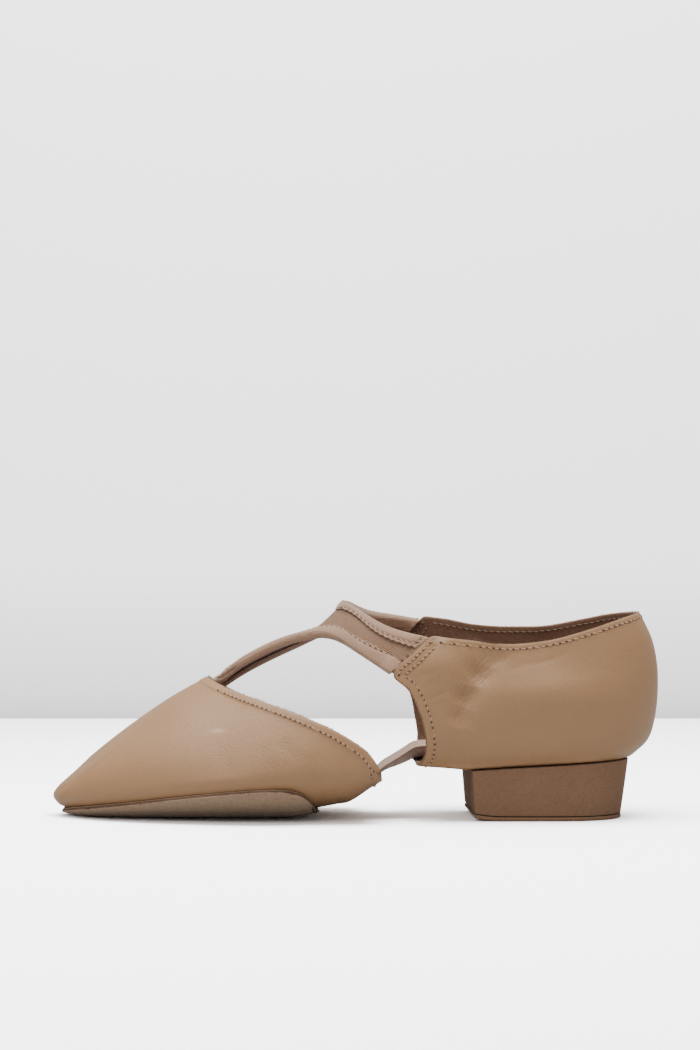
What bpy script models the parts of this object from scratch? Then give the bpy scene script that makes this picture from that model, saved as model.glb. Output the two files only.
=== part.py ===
"""A split-sole jazz shoe with a Y strap: left foot, toe towards -X, outer side towards -Y, floor at Z = 0."""

import math

import bpy
import bmesh
import numpy as np

# Driving sizes, in metres
length = 0.240
ballWidth = 0.084
heelWidth = 0.061
instepHeight = 0.086
collarHeight = 0.081
heelHeight = 0.0196
leather = 0.0012
soleThickness = 0.0017
treadThickness = 0.0015
insoleThickness = 0.0015
elasticThickness = 0.0012
archThickness = 0.0012
archWidth = 0.032
bindingThickness = 0.0007
bindingWidth = 0.0056
hemWidth = 0.0038
hemRaise = 0.0004
gap = 0.0003
patchGap = 0.0006

# Places along the shoe, and slopes, that several pieces share
toe = -length / 2
upperBase = soleThickness + patchGap
breast = toe + 0.680 * length
seatSlope = 0.057
waistSlope = 0.10
cupCentre = toe + 0.8333 * length
cupDepth = 0.1700 * length
instepOverCollar = 1.0617
stepAlong = 0.0008 * length
stepReach = 0.01

# Rows of the strap's tables: under the vamp, where the tapes start, at the peak, and at the quarter's seam
baseRow = 1.5
tapeStart = 1.75
peakRow = 9
seamRow = 15
tapeEnd = 14.97


def smooth(places, values, at):
    """A curve through the values that never overshoots them."""
    places = np.asarray(places, float)
    values = np.asarray(values, float)
    widths = np.diff(places)
    slopes = np.diff(values) / widths
    tangents = np.zeros(len(values))
    same = slopes[1:] * slopes[:-1] > 0
    before, after = slopes[:-1][same], slopes[1:][same]
    tangents[1:-1][same] = 2 * before * after / (before + after)
    tangents[0], tangents[-1] = slopes[0], slopes[-1]
    at = np.clip(np.asarray(at, float), places[0], places[-1])
    cell = np.clip(np.searchsorted(places, at, side="right") - 1, 0, len(widths) - 1)
    width = widths[cell]
    share = (at - places[cell]) / width
    return (
        values[cell] * (1 + 2 * share) * (1 - share) ** 2
        + tangents[cell] * width * share * (1 - share) ** 2
        + values[cell + 1] * (3 - 2 * share) * share ** 2
        + tangents[cell + 1] * width * share ** 2 * (share - 1)
    )


def readTable(names, rows):
    """A table's rows as one list for each named column."""
    return dict(zip(names.split(), map(list, zip(*rows))))


# The toe half of the last. along is a share of the length, outer, inner, crown and both flats are shares of
# the ball width, girth, ridge and rise are shares of the instep height, and fullness rounds the section.
toeLast = readTable(
    "along outer inner crown girth ridge rise flatOuter flatInner fullness",
    (
        (0.000, 0.060, 0.060, 0.060, 0.093, 0.093, 0.070, 0.060, 0.060, 2.00),
        (0.005, 0.006, 0.101, 0.060, 0.095, 0.133, 0.037, 0.048, 0.065, 2.00),
        (0.0125, -0.036, 0.137, 0.060, 0.099, 0.150, 0.020, 0.036, 0.077, 2.00),
        (0.029, -0.101, 0.190, 0.060, 0.105, 0.197, 0.006, 0.018, 0.095, 2.00),
        (0.058, -0.185, 0.250, 0.060, 0.112, 0.271, 0.000, 0.000, 0.131, 1.95),
        (0.100, -0.268, 0.310, 0.060, 0.127, 0.367, 0.000, -0.024, 0.167, 1.90),
        (0.150, -0.339, 0.363, 0.060, 0.145, 0.467, 0.000, -0.042, 0.208, 1.80),
        (0.208, -0.399, 0.411, 0.055, 0.169, 0.572, 0.000, -0.054, 0.238, 1.65),
        (0.254, -0.438, 0.440, 0.050, 0.186, 0.637, 0.000, -0.060, 0.250, 1.52),
        (0.300, -0.470, 0.464, 0.045, 0.203, 0.690, 0.000, -0.060, 0.262, 1.46),
        (0.350, -0.488, 0.476, 0.036, 0.221, 0.751, 0.000, -0.060, 0.262, 1.46),
        (0.395, -0.486, 0.470, 0.028, 0.234, 0.808, 0.000, -0.065, 0.256, 1.50),
        (0.4375, -0.476, 0.446, 0.020, 0.241, 0.852, 0.021, -0.079, 0.244, 1.56),
        (0.475, -0.464, 0.423, 0.012, 0.244, 0.907, 0.038, -0.095, 0.226, 1.62),
        (0.492, -0.456, 0.410, 0.008, 0.244, 0.925, 0.047, -0.104, 0.217, 1.66),
        (0.517, -0.446, 0.387, 0.004, 0.244, 0.953, 0.093, -0.119, 0.202, 1.70),
        (0.533, -0.440, 0.372, 0.000, 0.242, 0.968, 0.126, -0.131, 0.190, 1.75),
        (0.546, -0.435, 0.357, 0.000, 0.238, 0.977, 0.160, -0.143, 0.179, 1.80),
    ),
)

# The throat edges from the apex back to the corners: along and height as above
outerThroat = readTable(
    "share along height",
    (
        (0.00, 0.2575, 0.6400),
        (0.09, 0.2740, 0.6180),
        (0.18, 0.2896, 0.6000),
        (0.36, 0.3440, 0.5520),
        (0.52, 0.3970, 0.5050),
        (0.64, 0.4325, 0.4660),
        (0.75, 0.4680, 0.4240),
        (0.86, 0.5020, 0.3670),
        (0.91, 0.5160, 0.3430),
        (0.955, 0.5300, 0.3035),
        (0.98, 0.5380, 0.2730),
        (1.00, 0.5440, 0.2380),
    ),
)
innerThroat = readTable(
    "share along height",
    (
        (0.00, 0.2575, 0.6400),
        (0.09, 0.2740, 0.6050),
        (0.18, 0.2896, 0.5760),
        (0.36, 0.3440, 0.5000),
        (0.52, 0.3920, 0.4400),
        (0.64, 0.4240, 0.3980),
        (0.75, 0.4540, 0.3560),
        (0.86, 0.4820, 0.3120),
        (0.93, 0.4980, 0.2760),
        (1.00, 0.5060, 0.2430),
    ),
)

# The sole patch's upper edges and its rounded ends: reach 1 is the flat's edge and 2 the widest line
patchEdge = readTable(
    "along outer inner",
    (
        (0.018, 1.10, 1.10),
        (0.030, 1.45, 1.40),
        (0.060, 1.62, 1.55),
        (0.088, 1.68, 1.60),
        (0.140, 1.74, 1.66),
        (0.200, 1.79, 1.70),
        (0.280, 1.82, 1.72),
        (0.350, 1.82, 1.72),
        (0.390, 1.79, 1.68),
        (0.404, 1.75, 1.64),
        (0.416, 1.70, 1.58),
        (0.424, 1.63, 1.50),
        (0.431, 1.52, 1.40),
        (0.436, 1.30, 1.15),
        (0.439, 0.95, 0.80),
    ),
)

# The heel cup's shape up its height: side is a share of half the heel width, back one of the back's depth
cupProfile = readTable(
    "level side back",
    (
        (0.00, 0.72, 0.70),
        (0.04, 0.82, 0.79),
        (0.10, 0.91, 0.89),
        (0.22, 0.98, 0.96),
        (0.40, 1.00, 0.995),
        (0.55, 0.985, 1.00),
        (0.70, 0.95, 0.98),
        (0.85, 0.915, 0.925),
        (1.00, 0.875, 0.82),
    ),
)

# How far each side of the heel cup stands out along the waist, and its rim as shares of the collar height
cupSides = readTable(
    "along outer inner",
    ((0.55, 1.13, 1.00), (0.60, 1.08, 0.95), (0.66, 1.03, 0.92), (0.75, 0.985, 0.95), (0.85, 1.00, 1.00)),
)
cupRim = readTable(
    "along outer inner",
    (
        (0.619, 0.896, 0.967),
        (0.658, 0.880, 0.951),
        (0.700, 0.867, 0.927),
        (0.750, 0.852, 0.915),
        (0.808, 0.868, 0.916),
        (0.875, 0.917, 0.946),
        (0.933, 0.970, 0.983),
        (0.970, 1.000, 1.000),
    ),
)

# The heel cup's front edge: level up the cup's height, along as a share of the length
cupFront = readTable(
    "level outer inner",
    (
        (0.00, 0.604, 0.600),
        (0.04, 0.612, 0.606),
        (0.15, 0.6185, 0.610),
        (0.27, 0.616, 0.606),
        (0.40, 0.610, 0.601),
        (0.51, 0.600, 0.592),
        (0.60, 0.589, 0.581),
        (0.68, 0.5675, 0.559),
        (0.72, 0.5665, 0.558),
        (0.86, 0.5965, 0.590),
        (1.00, 0.6270, 0.619),
    ),
)

# The strap's middle surface: along, side as a share of half the heel width and height as one of the
# instep height. The crown line runs up the stem, and the two upper edges leave it at the peak. A line has
# as many rows as the others, so that equal rows face each other across the strap.
strapCrown = readTable(
    "along side height",
    (
        (0.228, 0.130, 0.566),
        (0.246, 0.130, 0.588),
        (0.273, 0.120, 0.630),
        (0.296, 0.080, 0.668),
        (0.344, 0.050, 0.748),
        (0.394, 0.030, 0.810),
        (0.428, 0.010, 0.850),
        (0.446, 0.000, 0.880),
        (0.464, 0.000, 0.928),
        (0.483, 0.000, 0.978),
    ),
)
strapOuterTop = readTable(
    "along side height",
    (
        (0.489, -0.110, 0.972),
        (0.510, -0.270, 0.938),
        (0.534, -0.500, 0.896),
        (0.560, -0.660, 0.862),
        (0.590, -0.790, 0.841),
        (0.620, -0.870, 0.826),
        (0.650, -0.870, 0.802),
    ),
)
strapInnerTop = readTable(
    "along side height",
    (
        (0.489, 0.110, 0.976),
        (0.510, 0.270, 0.946),
        (0.534, 0.480, 0.922),
        (0.560, 0.640, 0.912),
        (0.587, 0.750, 0.901),
        (0.611, 0.800, 0.889),
        (0.645, 0.800, 0.872),
    ),
)
strapOuterEdge = readTable(
    "along side height",
    (
        (0.228, -0.060, 0.560),
        (0.246, -0.060, 0.580),
        (0.277, -0.080, 0.622),
        (0.298, -0.150, 0.682),
        (0.344, -0.190, 0.762),
        (0.394, -0.220, 0.820),
        (0.424, -0.300, 0.836),
        (0.443, -0.380, 0.846),
        (0.462, -0.470, 0.840),
        (0.483, -0.570, 0.814),
        (0.496, -0.650, 0.790),
        (0.510, -0.730, 0.766),
        (0.523, -0.780, 0.744),
        (0.536, -0.830, 0.722),
        (0.548, -0.880, 0.701),
        (0.561, -0.920, 0.678),
        (0.592, -0.920, 0.622),
    ),
)
strapInnerEdge = readTable(
    "along side height",
    (
        (0.228, 0.320, 0.558),
        (0.246, 0.320, 0.574),
        (0.275, 0.320, 0.590),
        (0.296, 0.330, 0.634),
        (0.344, 0.330, 0.712),
        (0.394, 0.340, 0.776),
        (0.424, 0.390, 0.816),
        (0.443, 0.450, 0.840),
        (0.462, 0.520, 0.850),
        (0.483, 0.600, 0.844),
        (0.496, 0.660, 0.830),
        (0.510, 0.720, 0.812),
        (0.523, 0.760, 0.794),
        (0.536, 0.800, 0.774),
        (0.548, 0.830, 0.754),
        (0.556, 0.850, 0.736),
        (0.586, 0.850, 0.675),
    ),
)


def seatHeight(x):
    """The underside of the heel cup: it rises from the breast back to the heel and forward to the waist."""
    slope = np.where(x > breast, seatSlope, -waistSlope)
    return heelHeight + gap + slope * (x - breast)


def toePoint(distance, reach):
    """A point on the outside of the toe half. reach runs from -3 on the crown through -2 at the widest
    line, -1 at the flat's edge and 0 under the middle to 3 on the crown again, outer side first."""
    root = np.sqrt(distance / length)
    rootPlaces = np.sqrt(toeLast["along"])

    def column(name):
        return float(smooth(rootPlaces, toeLast[name], root))

    outer = reach < 0
    side = column("outer" if outer else "inner") * ballWidth
    flat = column("flatOuter" if outer else "flatInner") * ballWidth
    crown = column("crown") * ballWidth
    girth = column("girth") * instepHeight
    ridge = column("ridge") * instepHeight
    under = upperBase + column("rise") * instepHeight
    middle = (column("flatOuter") + column("flatInner")) * ballWidth / 2
    turn = abs(reach)
    if turn <= 1:
        y = middle + (flat - middle) * turn
        z = under
    elif turn <= 2:
        angle = (turn - 1) * math.pi / 2
        y = flat + (side - flat) * math.sin(angle)
        z = under + (girth - under) * (1 - math.cos(angle))
    else:
        angle = min(turn - 2, 1) * math.pi / 2
        power = 2 / column("fullness")
        y = crown + (side - crown) * max(math.cos(angle), 0) ** power
        z = girth + (ridge - girth) * math.sin(angle) ** power
    return np.array((toe + distance, y, z))


def toeNormal(distance, reach):
    """The direction straight out of the toe half's outside at this place."""
    along = toePoint(distance + stepAlong, reach) - toePoint(distance - stepAlong, reach)
    across = toePoint(distance, reach + stepReach) - toePoint(distance, reach - stepReach)
    normal = np.cross(across, along)
    return normal / np.linalg.norm(normal)


def reachAtHeight(distance, height):
    """The reach, from 2 to 3, at which the toe half's side has this height."""
    root = np.sqrt(distance / length)
    rootPlaces = np.sqrt(toeLast["along"])
    girth = float(smooth(rootPlaces, toeLast["girth"], root)) * instepHeight
    ridge = float(smooth(rootPlaces, toeLast["ridge"], root)) * instepHeight
    fullness = float(smooth(rootPlaces, toeLast["fullness"], root))
    share = min(max((height - girth) / (ridge - girth), 0), 1)
    return 2 + math.asin(share ** (fullness / 2)) / (math.pi / 2)


def alongPath(path, places):
    """The points at these distances along a path of points."""
    steps = np.linalg.norm(np.diff(path, axis=0), axis=1)
    reached = np.concatenate(([0], np.cumsum(steps)))
    return np.stack([np.interp(places, reached, path[:, axis]) for axis in range(3)], axis=1), reached[-1]


def gridNormals(grid, looped=False):
    """Unit normals of a grid of points, one for each point."""
    if looped:
        down = np.roll(grid, -1, axis=0) - np.roll(grid, 1, axis=0)
    else:
        down = np.gradient(grid, axis=0)
    across = np.gradient(grid, axis=1)
    normals = np.cross(down, across)
    lengths = np.linalg.norm(normals, axis=2, keepdims=True)
    return normals / np.maximum(lengths, 1e-12)


def sheetFaces(rows, columns, looped=False):
    """The four-sided faces of a grid, as point numbers."""
    faces = []
    for row in range(rows if looped else rows - 1):
        following = (row + 1) % rows
        for column in range(columns - 1):
            faces.append(
                (
                    row * columns + column,
                    following * columns + column,
                    following * columns + column + 1,
                    row * columns + column + 1,
                )
            )
    return faces


def makeMaterial(name, colour, roughness):
    material = bpy.data.materials.new(name)
    material.use_nodes = True
    shader = material.node_tree.nodes["Principled BSDF"]
    shader.inputs["Base Color"].default_value = (*colour, 1)
    shader.inputs["Roughness"].default_value = roughness
    shader.inputs["Metallic"].default_value = 0
    return material


def makeObject(name, points, faces, colour, roughness):
    """A mesh object with its own material, its faces turned outwards all one way."""
    mesh = bpy.data.meshes.new(name)
    mesh.from_pydata([tuple(map(float, point)) for point in points], [], faces)
    mesh.materials.append(makeMaterial(name, colour, roughness))
    made = bpy.data.objects.new(name, mesh)
    shoe.objects.link(made)
    return made


def thicken(made, thickness, offset):
    """Turns an open sheet into a wall."""
    solid = made.modifiers.new("wall", "SOLIDIFY")
    solid.thickness = thickness
    solid.offset = offset
    solid.use_even_offset = True
    solid.use_quality_normals = True


def closeMesh(made):
    """Turns the normals of a closed mesh outwards."""
    shape = bmesh.new()
    shape.from_mesh(made.data)
    bmesh.ops.recalc_face_normals(shape, faces=shape.faces)
    if shape.calc_volume(signed=True) < 0:
        bmesh.ops.reverse_faces(shape, faces=shape.faces)
    shape.to_mesh(made.data)
    shape.free()


def makeVamp():
    """The toe part: lines run from the opening under the foot, round the outline and up to the throat."""
    sideLines = 20
    backLines = 9
    lowerShares = (0, 0.3, 0.55, 0.75, 0.9)
    upperShares = (0, 0.1, 0.22, 0.36, 0.52, 0.68, 0.84)
    openingFront = 0.040
    openingBack = 0.405
    openingReach = 0.75
    turnAlong = 0.480
    turnReach = 1.35

    def sideLine(share, side):
        throat = outerThroat if side < 0 else innerThroat
        place = share ** 1.3
        edgeAlong = float(smooth(throat["share"], throat["along"], place)) * length
        edgeHeight = float(smooth(throat["share"], throat["height"], place)) * instepHeight
        edgeReach = reachAtHeight(edgeAlong, edgeHeight)
        openAlong = (openingFront + (openingBack - openingFront) * share ** 1.15) * length
        openReach = openingReach * min(1, share * 5)
        backing = max(0, (share - 0.7) / 0.3)
        middleAlong = turnAlong * length * share ** 1.5
        middleReach = 2 - (2 - turnReach) * backing ** 2 * (3 - 2 * backing)
        return openAlong, openReach, middleAlong, middleReach, edgeAlong, edgeReach

    def sampleLine(lower, upper):
        # Even steps under the foot, then up the side to the step of the hem and over it to the edge
        lower, upper = np.array(lower), np.array(upper)
        _, lowerLength = alongPath(lower, [0])
        _, upperLength = alongPath(upper, [0])
        plain = upperLength - hemWidth - 1.5 * hemRaise
        places = [plain * share for share in upperShares]
        places += [plain, upperLength - hemWidth, upperLength - hemWidth / 2, upperLength]
        first, _ = alongPath(lower, [lowerLength * share for share in lowerShares])
        second, _ = alongPath(upper, places)
        return np.concatenate((first, second))

    def linePoints(openAlong, openReach, middleAlong, middleReach, edgeAlong, edgeReach, side, bend):
        shares = np.linspace(0, 1, 41)
        lower = [
            toePoint(
                openAlong + (middleAlong - openAlong) * share,
                side * (openReach + (middleReach - openReach) * share ** bend),
            )
            for share in shares
        ]
        upper = [
            toePoint(
                middleAlong + (edgeAlong - middleAlong) * share ** (0.9 + 0.5 * bend),
                side * (middleReach + (edgeReach - middleReach) * share ** (1 / bend)),
            )
            for share in shares
        ]
        return sampleLine(lower, upper)

    def centreLine():
        # Under the middle to the tip of the toe, and back over the crown
        openAlong, _, _, _, edgeAlong, _ = sideLine(0, -1)
        lower = [toePoint(openAlong * (1 - share), 0) for share in np.linspace(0, 1, 41)]
        upper = [toePoint(edgeAlong * share ** 1.6, -3) for share in np.linspace(0, 1, 61)]
        return sampleLine(lower, upper)

    def bendAt(share):
        return 1 + 0.7 * max(0, 1 - share * 2.5)

    lines = [centreLine()]
    for number in range(1, sideLines + 1):
        share = number / sideLines
        lines.append(linePoints(*sideLine(share, -1), -1, bendAt(share)))
    outerEnd = sideLine(1, -1)
    innerEnd = sideLine(1, 1)
    for number in range(1, backLines):
        swing = 1 - 2 * number / backLines
        side = -1 if swing > 0 else 1
        towardsInner = (1 - swing) / 2
        edgeAlong = outerEnd[4] + (innerEnd[4] - outerEnd[4]) * towardsInner ** 2
        lines.append(
            linePoints(
                outerEnd[0],
                outerEnd[1] * abs(swing),
                turnAlong * length,
                turnReach * abs(swing),
                edgeAlong,
                2 * abs(swing),
                side,
                1,
            )
        )
    for number in range(sideLines, 0, -1):
        share = number / sideLines
        lines.append(linePoints(*sideLine(share, 1), 1, bendAt(share)))
    grid = np.array(lines)
    normals = gridNormals(grid, looped=True)
    grid[:, -3:] += normals[:, -3:] * hemRaise
    rows, columns = grid.shape[:2]
    vamp = makeObject("vamp", grid.reshape(-1, 3), sheetFaces(rows, columns, True), vampColour, 0.5)
    thicken(vamp, leather, -1)
    return vamp


def makePatch():
    """The suede patch under the forefoot, and the insole above it, follow the same sections."""
    across = 20
    insoleOuter, insoleInner = 1.25, 1.20
    insoleFront, insoleBack = 0.020, 0.535
    rows = []
    for along, outer, inner in zip(patchEdge["along"], patchEdge["outer"], patchEdge["inner"]):
        place = along * length
        reaches = np.linspace(-outer, inner, across + 1)
        rows.append([toePoint(place, reach) + toeNormal(place, reach) * patchGap for reach in reaches])
    grid = np.array(rows)
    patch = makeObject("fore_sole", grid.reshape(-1, 3), sheetFaces(*grid.shape[:2]), patchColour, 0.9)
    thicken(patch, soleThickness, -1)
    settleOnFloor(patch)

    rows = []
    for along in (0.040, 0.060, 0.090, 0.140, 0.200, 0.270, 0.340, 0.400, 0.440, 0.475, 0.495):
        narrow = min(1, (along - insoleFront) / 0.05) * min(1, (insoleBack - along) / 0.08)
        place = along * length
        reaches = np.linspace(-insoleOuter * narrow, insoleInner * narrow, 9)
        inside = leather + 2 * gap
        rows.append([toePoint(place, reach) - toeNormal(place, reach) * inside for reach in reaches])
    grid = np.array(rows)
    insole = makeObject("fore_insole", grid.reshape(-1, 3), sheetFaces(*grid.shape[:2]), insoleColour, 0.95)
    thicken(insole, insoleThickness, 1)


def settleOnFloor(made):
    """Presses what the wall's corners put a hair above or below the floor onto it."""
    hair = 0.00004
    bpy.context.view_layer.update()
    graph = bpy.context.evaluated_depsgraph_get()
    shaped = bpy.data.meshes.new_from_object(made.evaluated_get(graph))
    for vertex in shaped.vertices:
        vertex.co.z = vertex.co.z if vertex.co.z > hair else 0
    made.modifiers.clear()
    made.data = shaped


def cupPoint(share, level):
    """A point on the outside of the heel cup. share runs from 0 at the outer front edge through 1 and 2 at the
    sides' ends to 3 at the inner front edge."""
    side = -1 if share < 1.5 else 1
    name = "outer" if side < 0 else "inner"
    widthShare = float(smooth(cupProfile["level"], cupProfile["side"], level))
    backShare = float(smooth(cupProfile["level"], cupProfile["back"], level))
    bottomWidth = heelWidth / 2 * widthShare
    if 1 <= share <= 2:
        angle = (share - 1.5) * math.pi
        power = 0.93
        x = cupCentre + cupDepth * backShare * math.cos(angle) ** power
        y = math.copysign(abs(math.sin(angle)) ** power, angle) * bottomWidth
    else:
        front = toe + float(smooth(cupFront["level"], cupFront[name], level)) * length
        back = share if side < 0 else 3 - share
        x = front + (cupCentre - front) * back
        y = side * bottomWidth * float(smooth(cupSides["along"], cupSides[name], (x - toe) / length))
    along = (x - toe) / length
    rimOuter = float(smooth(cupRim["along"], cupRim["outer"], along))
    rimInner = float(smooth(cupRim["along"], cupRim["inner"], along))
    rim = (rimOuter if side < 0 else rimInner) * collarHeight
    low = float(seatHeight(x))
    return np.array((x, y, low + (rim - low) * level))


def cupSideAt(x, z, side):
    """How far out the heel cup's side is at this place along and up."""
    name = "outer" if side < 0 else "inner"
    along = (x - toe) / length
    rim = float(smooth(cupRim["along"], cupRim[name], along)) * collarHeight
    low = float(seatHeight(x))
    level = (z - low) / (rim - low)
    widthShare = float(smooth(cupProfile["level"], cupProfile["side"], level))
    return side * heelWidth / 2 * widthShare * float(smooth(cupSides["along"], cupSides[name], along))


def makeQuarter():
    """The heel cup: lines run from the opening under the heel, or the middle of the waist, up to the rim."""
    frontShares = (0, 0.07, 0.15, 0.25, 0.36, 0.48, 0.6, 0.73, 0.87)
    backLines = 14
    levels = (0, 0.04, 0.1, 0.18, 0.28, 0.39, 0.5, 0.6, 0.66, 0.7, 0.76, 0.85, 0.95, 1)
    underShares = (0, 0.35, 0.7)
    openingWidth = 0.23 * heelWidth
    openingDepth = 0.083 * length
    closedLines = 5
    shares = list(frontShares) + [1 + number / backLines for number in range(backLines + 1)]
    shares += [3 - share for share in reversed(frontShares)]
    points = []
    faces = []
    inner = {}
    columns = len(underShares) + len(levels)
    for line, share in enumerate(shares):
        foot = cupPoint(share, 0)
        fromFront = min(line, len(shares) - 1 - line)
        if 1 <= share <= 2:
            angle = (share - 1.5) * math.pi
            middle = np.array(
                (cupCentre + openingDepth * math.cos(angle), openingWidth * math.sin(angle), 0)
            )
        else:
            opened = min(1, max(0, (fromFront - closedLines + 1) / 3)) ** 0.5
            side = -1 if share < 1.5 else 1
            middle = np.array((foot[0], side * openingWidth * opened, 0))
        middle[2] = float(seatHeight(middle[0]))
        for place in underShares:
            if place == 0 and fromFront < closedLines and share > 1.5:
                inner[line] = inner[len(shares) - 1 - line]
                points.append(points[inner[line]])
                continue
            inner.setdefault(line, len(points))
            point = middle + (foot - middle) * place
            point[2] = float(seatHeight(point[0]))
            points.append(point)
        for level in levels:
            points.append(cupPoint(share, level))
    for line in range(len(shares) - 1):
        for column in range(columns - 1):
            corners = [line * columns + column, (line + 1) * columns + column]
            corners += [(line + 1) * columns + column + 1, line * columns + column + 1]
            faces.append(
                tuple(inner[corner // columns] if corner % columns == 0 else corner for corner in corners)
            )
    quarter = makeObject("quarter", points, faces, quarterColour, 0.5)
    shape = bmesh.new()
    shape.from_mesh(quarter.data)
    loose = [vertex for vertex in shape.verts if not vertex.link_faces]
    bmesh.ops.delete(shape, geom=loose, context="VERTS")
    shape.to_mesh(quarter.data)
    shape.free()
    thicken(quarter, leather, -1)
    return quarter


def makeSlab(name, low, high, colour, roughness):
    """A closed block between two grids of the same size."""
    rows, columns = low.shape[:2]
    count = rows * columns
    faces = [tuple(reversed(face)) for face in sheetFaces(rows, columns)]
    faces += [tuple(corner + count for corner in face) for face in sheetFaces(rows, columns)]
    edge = list(range(columns))
    edge += [row * columns + columns - 1 for row in range(1, rows)]
    edge += [(rows - 1) * columns + column for column in range(columns - 2, -1, -1)]
    edge += [row * columns for row in range(rows - 2, 0, -1)]
    for number, corner in enumerate(edge):
        following = edge[(number + 1) % len(edge)]
        faces.append((corner, following, following + count, corner + count))
    made = makeObject(name, list(low.reshape(-1, 3)) + list(high.reshape(-1, 3)), faces, colour, roughness)
    closeMesh(made)
    return made


def heelOutline(front, skew, back, halfWidth, height):
    """A grid in the shape of a heel: a straight front, straight sides and a round back."""
    across = np.linspace(-1, 1, 9)
    roundness = 0.93
    centre = back - halfWidth * 1.12
    rows = []
    for share in (0, 0.12, 0.26, 0.44, 0.7, 1):
        rows.append(
            [
                (front - skew * side + (centre - front + skew * side) * share, halfWidth * side)
                for side in across
            ]
        )
    for degrees in (18, 34, 50, 64, 75, 83):
        angle = math.radians(degrees)
        place = centre + (back - centre) * math.sin(angle) ** roundness
        rows.append([(place, halfWidth * side * math.cos(angle) ** roundness) for side in across])
    return np.array([[(x, y, float(height(x))) for x, y in row] for row in rows])


def makeHeel():
    """The heel block with its rounded lower front, the tread under it and the insole above it."""
    front = toe + 0.687 * length
    back = toe + 0.955 * length
    topWidth = 0.402 * heelWidth
    lowWidth = 0.365 * heelWidth
    skew = 0.0200 * heelWidth
    frontLift = 0.087 * heelHeight
    liftLength = 0.054 * length
    lowFront = front + 0.0050 * length
    lowBack = back - 0.0125 * length

    def lift(x):
        return frontLift * max(0, 1 - (x - lowFront + skew) / liftLength) ** 2

    def treadTop(x):
        return treadThickness + lift(x)

    low = heelOutline(lowFront, skew, lowBack, lowWidth, lambda x: treadTop(x) + gap)
    high = heelOutline(front, skew, back, topWidth, lambda x: seatHeight(x) - gap)
    makeSlab("heel", low, high, heelColour, 0.95)
    tread = heelOutline(lowFront, skew, lowBack, lowWidth, lift)
    makeSlab("heel_tread", tread, heelOutline(lowFront, skew, lowBack, lowWidth, treadTop), treadColour, 0.95)

    insoleFront = toe + 0.652 * length
    insoleBack = toe + 0.947 * length
    insoleWidth = 0.318 * heelWidth

    def insoleLow(x):
        return seatHeight(x) + leather + gap

    def insoleHigh(x):
        return insoleLow(x) + insoleThickness

    makeSlab(
        "heel_insole",
        heelOutline(insoleFront, 0, insoleBack, insoleWidth, insoleLow),
        heelOutline(insoleFront, 0, insoleBack, insoleWidth, insoleHigh),
        insoleColour,
        0.95,
    )


def makeArch():
    """The arch elastic: its ends lie inside both halves, and its edges turn up. Its height is a share of the
    instep height at the toe half plus a share of the heel height at the cup, and turn one of its width."""
    places = readTable(
        "along instep heel turn",
        (
            (0.517, 0.147, 0.000, 0.046),
            (0.533, 0.176, 0.000, 0.051),
            (0.546, 0.160, 0.233, 0.064),
            (0.560, 0.110, 0.518, 0.086),
            (0.575, 0.060, 0.794, 0.121),
            (0.592, 0.000, 1.150, 0.150),
            (0.600, 0.000, 1.207, 0.156),
            (0.617, 0.000, 1.229, 0.156),
            (0.637, 0.000, 1.207, 0.148),
        ),
    )
    middle = 0.065 * archWidth
    rows = []
    for along, instep, heel, turn in zip(*places.values()):
        low = instep * instepHeight + heel * heelHeight
        row = []
        for side in np.linspace(-1, 1, 9):
            z = low + turn * abs(side) ** 2.2 * archWidth
            row.append((toe + along * length, middle + side * archWidth / 2, z))
        rows.append(row)
    grid = np.array(rows)
    arch = makeObject("arch_elastic", grid.reshape(-1, 3), sheetFaces(*grid.shape[:2]), archColour, 0.8)
    thicken(arch, archThickness, 0)
    return arch


def vampTopAt(x, y):
    """The height of the toe half's upper side over this place."""
    crownSide = 0.048
    side = -1 if y < crownSide * ballWidth else 1
    low, high = 2.0, 3.0
    for _ in range(30):
        middle = (low + high) / 2
        if side * (toePoint(x - toe, side * middle)[1] - y) > 0:
            low = middle
        else:
            high = middle
    return toePoint(x - toe, side * low)[2]


def strapLine(tables, places):
    """Points of one of the strap's lines, at places counted in rows of its tables."""
    along = np.concatenate([table["along"] for table in tables])
    side = np.concatenate([table["side"] for table in tables])
    height = np.concatenate([table["height"] for table in tables])
    rows = np.arange(len(along))
    # The stem and the peak follow the instep, and the arms come down to follow the collar
    down = smooth((0, peakRow, seamRow, seamRow + 1), (0, 0, 1, 1), places)
    heightSize = instepHeight + (collarHeight * instepOverCollar - instepHeight) * down
    return np.stack(
        (
            toe + smooth(rows, along, places) * length,
            smooth(rows, side, places) * heelWidth / 2,
            smooth(rows, height, places) * heightSize,
        ),
        axis=1,
    )


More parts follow.
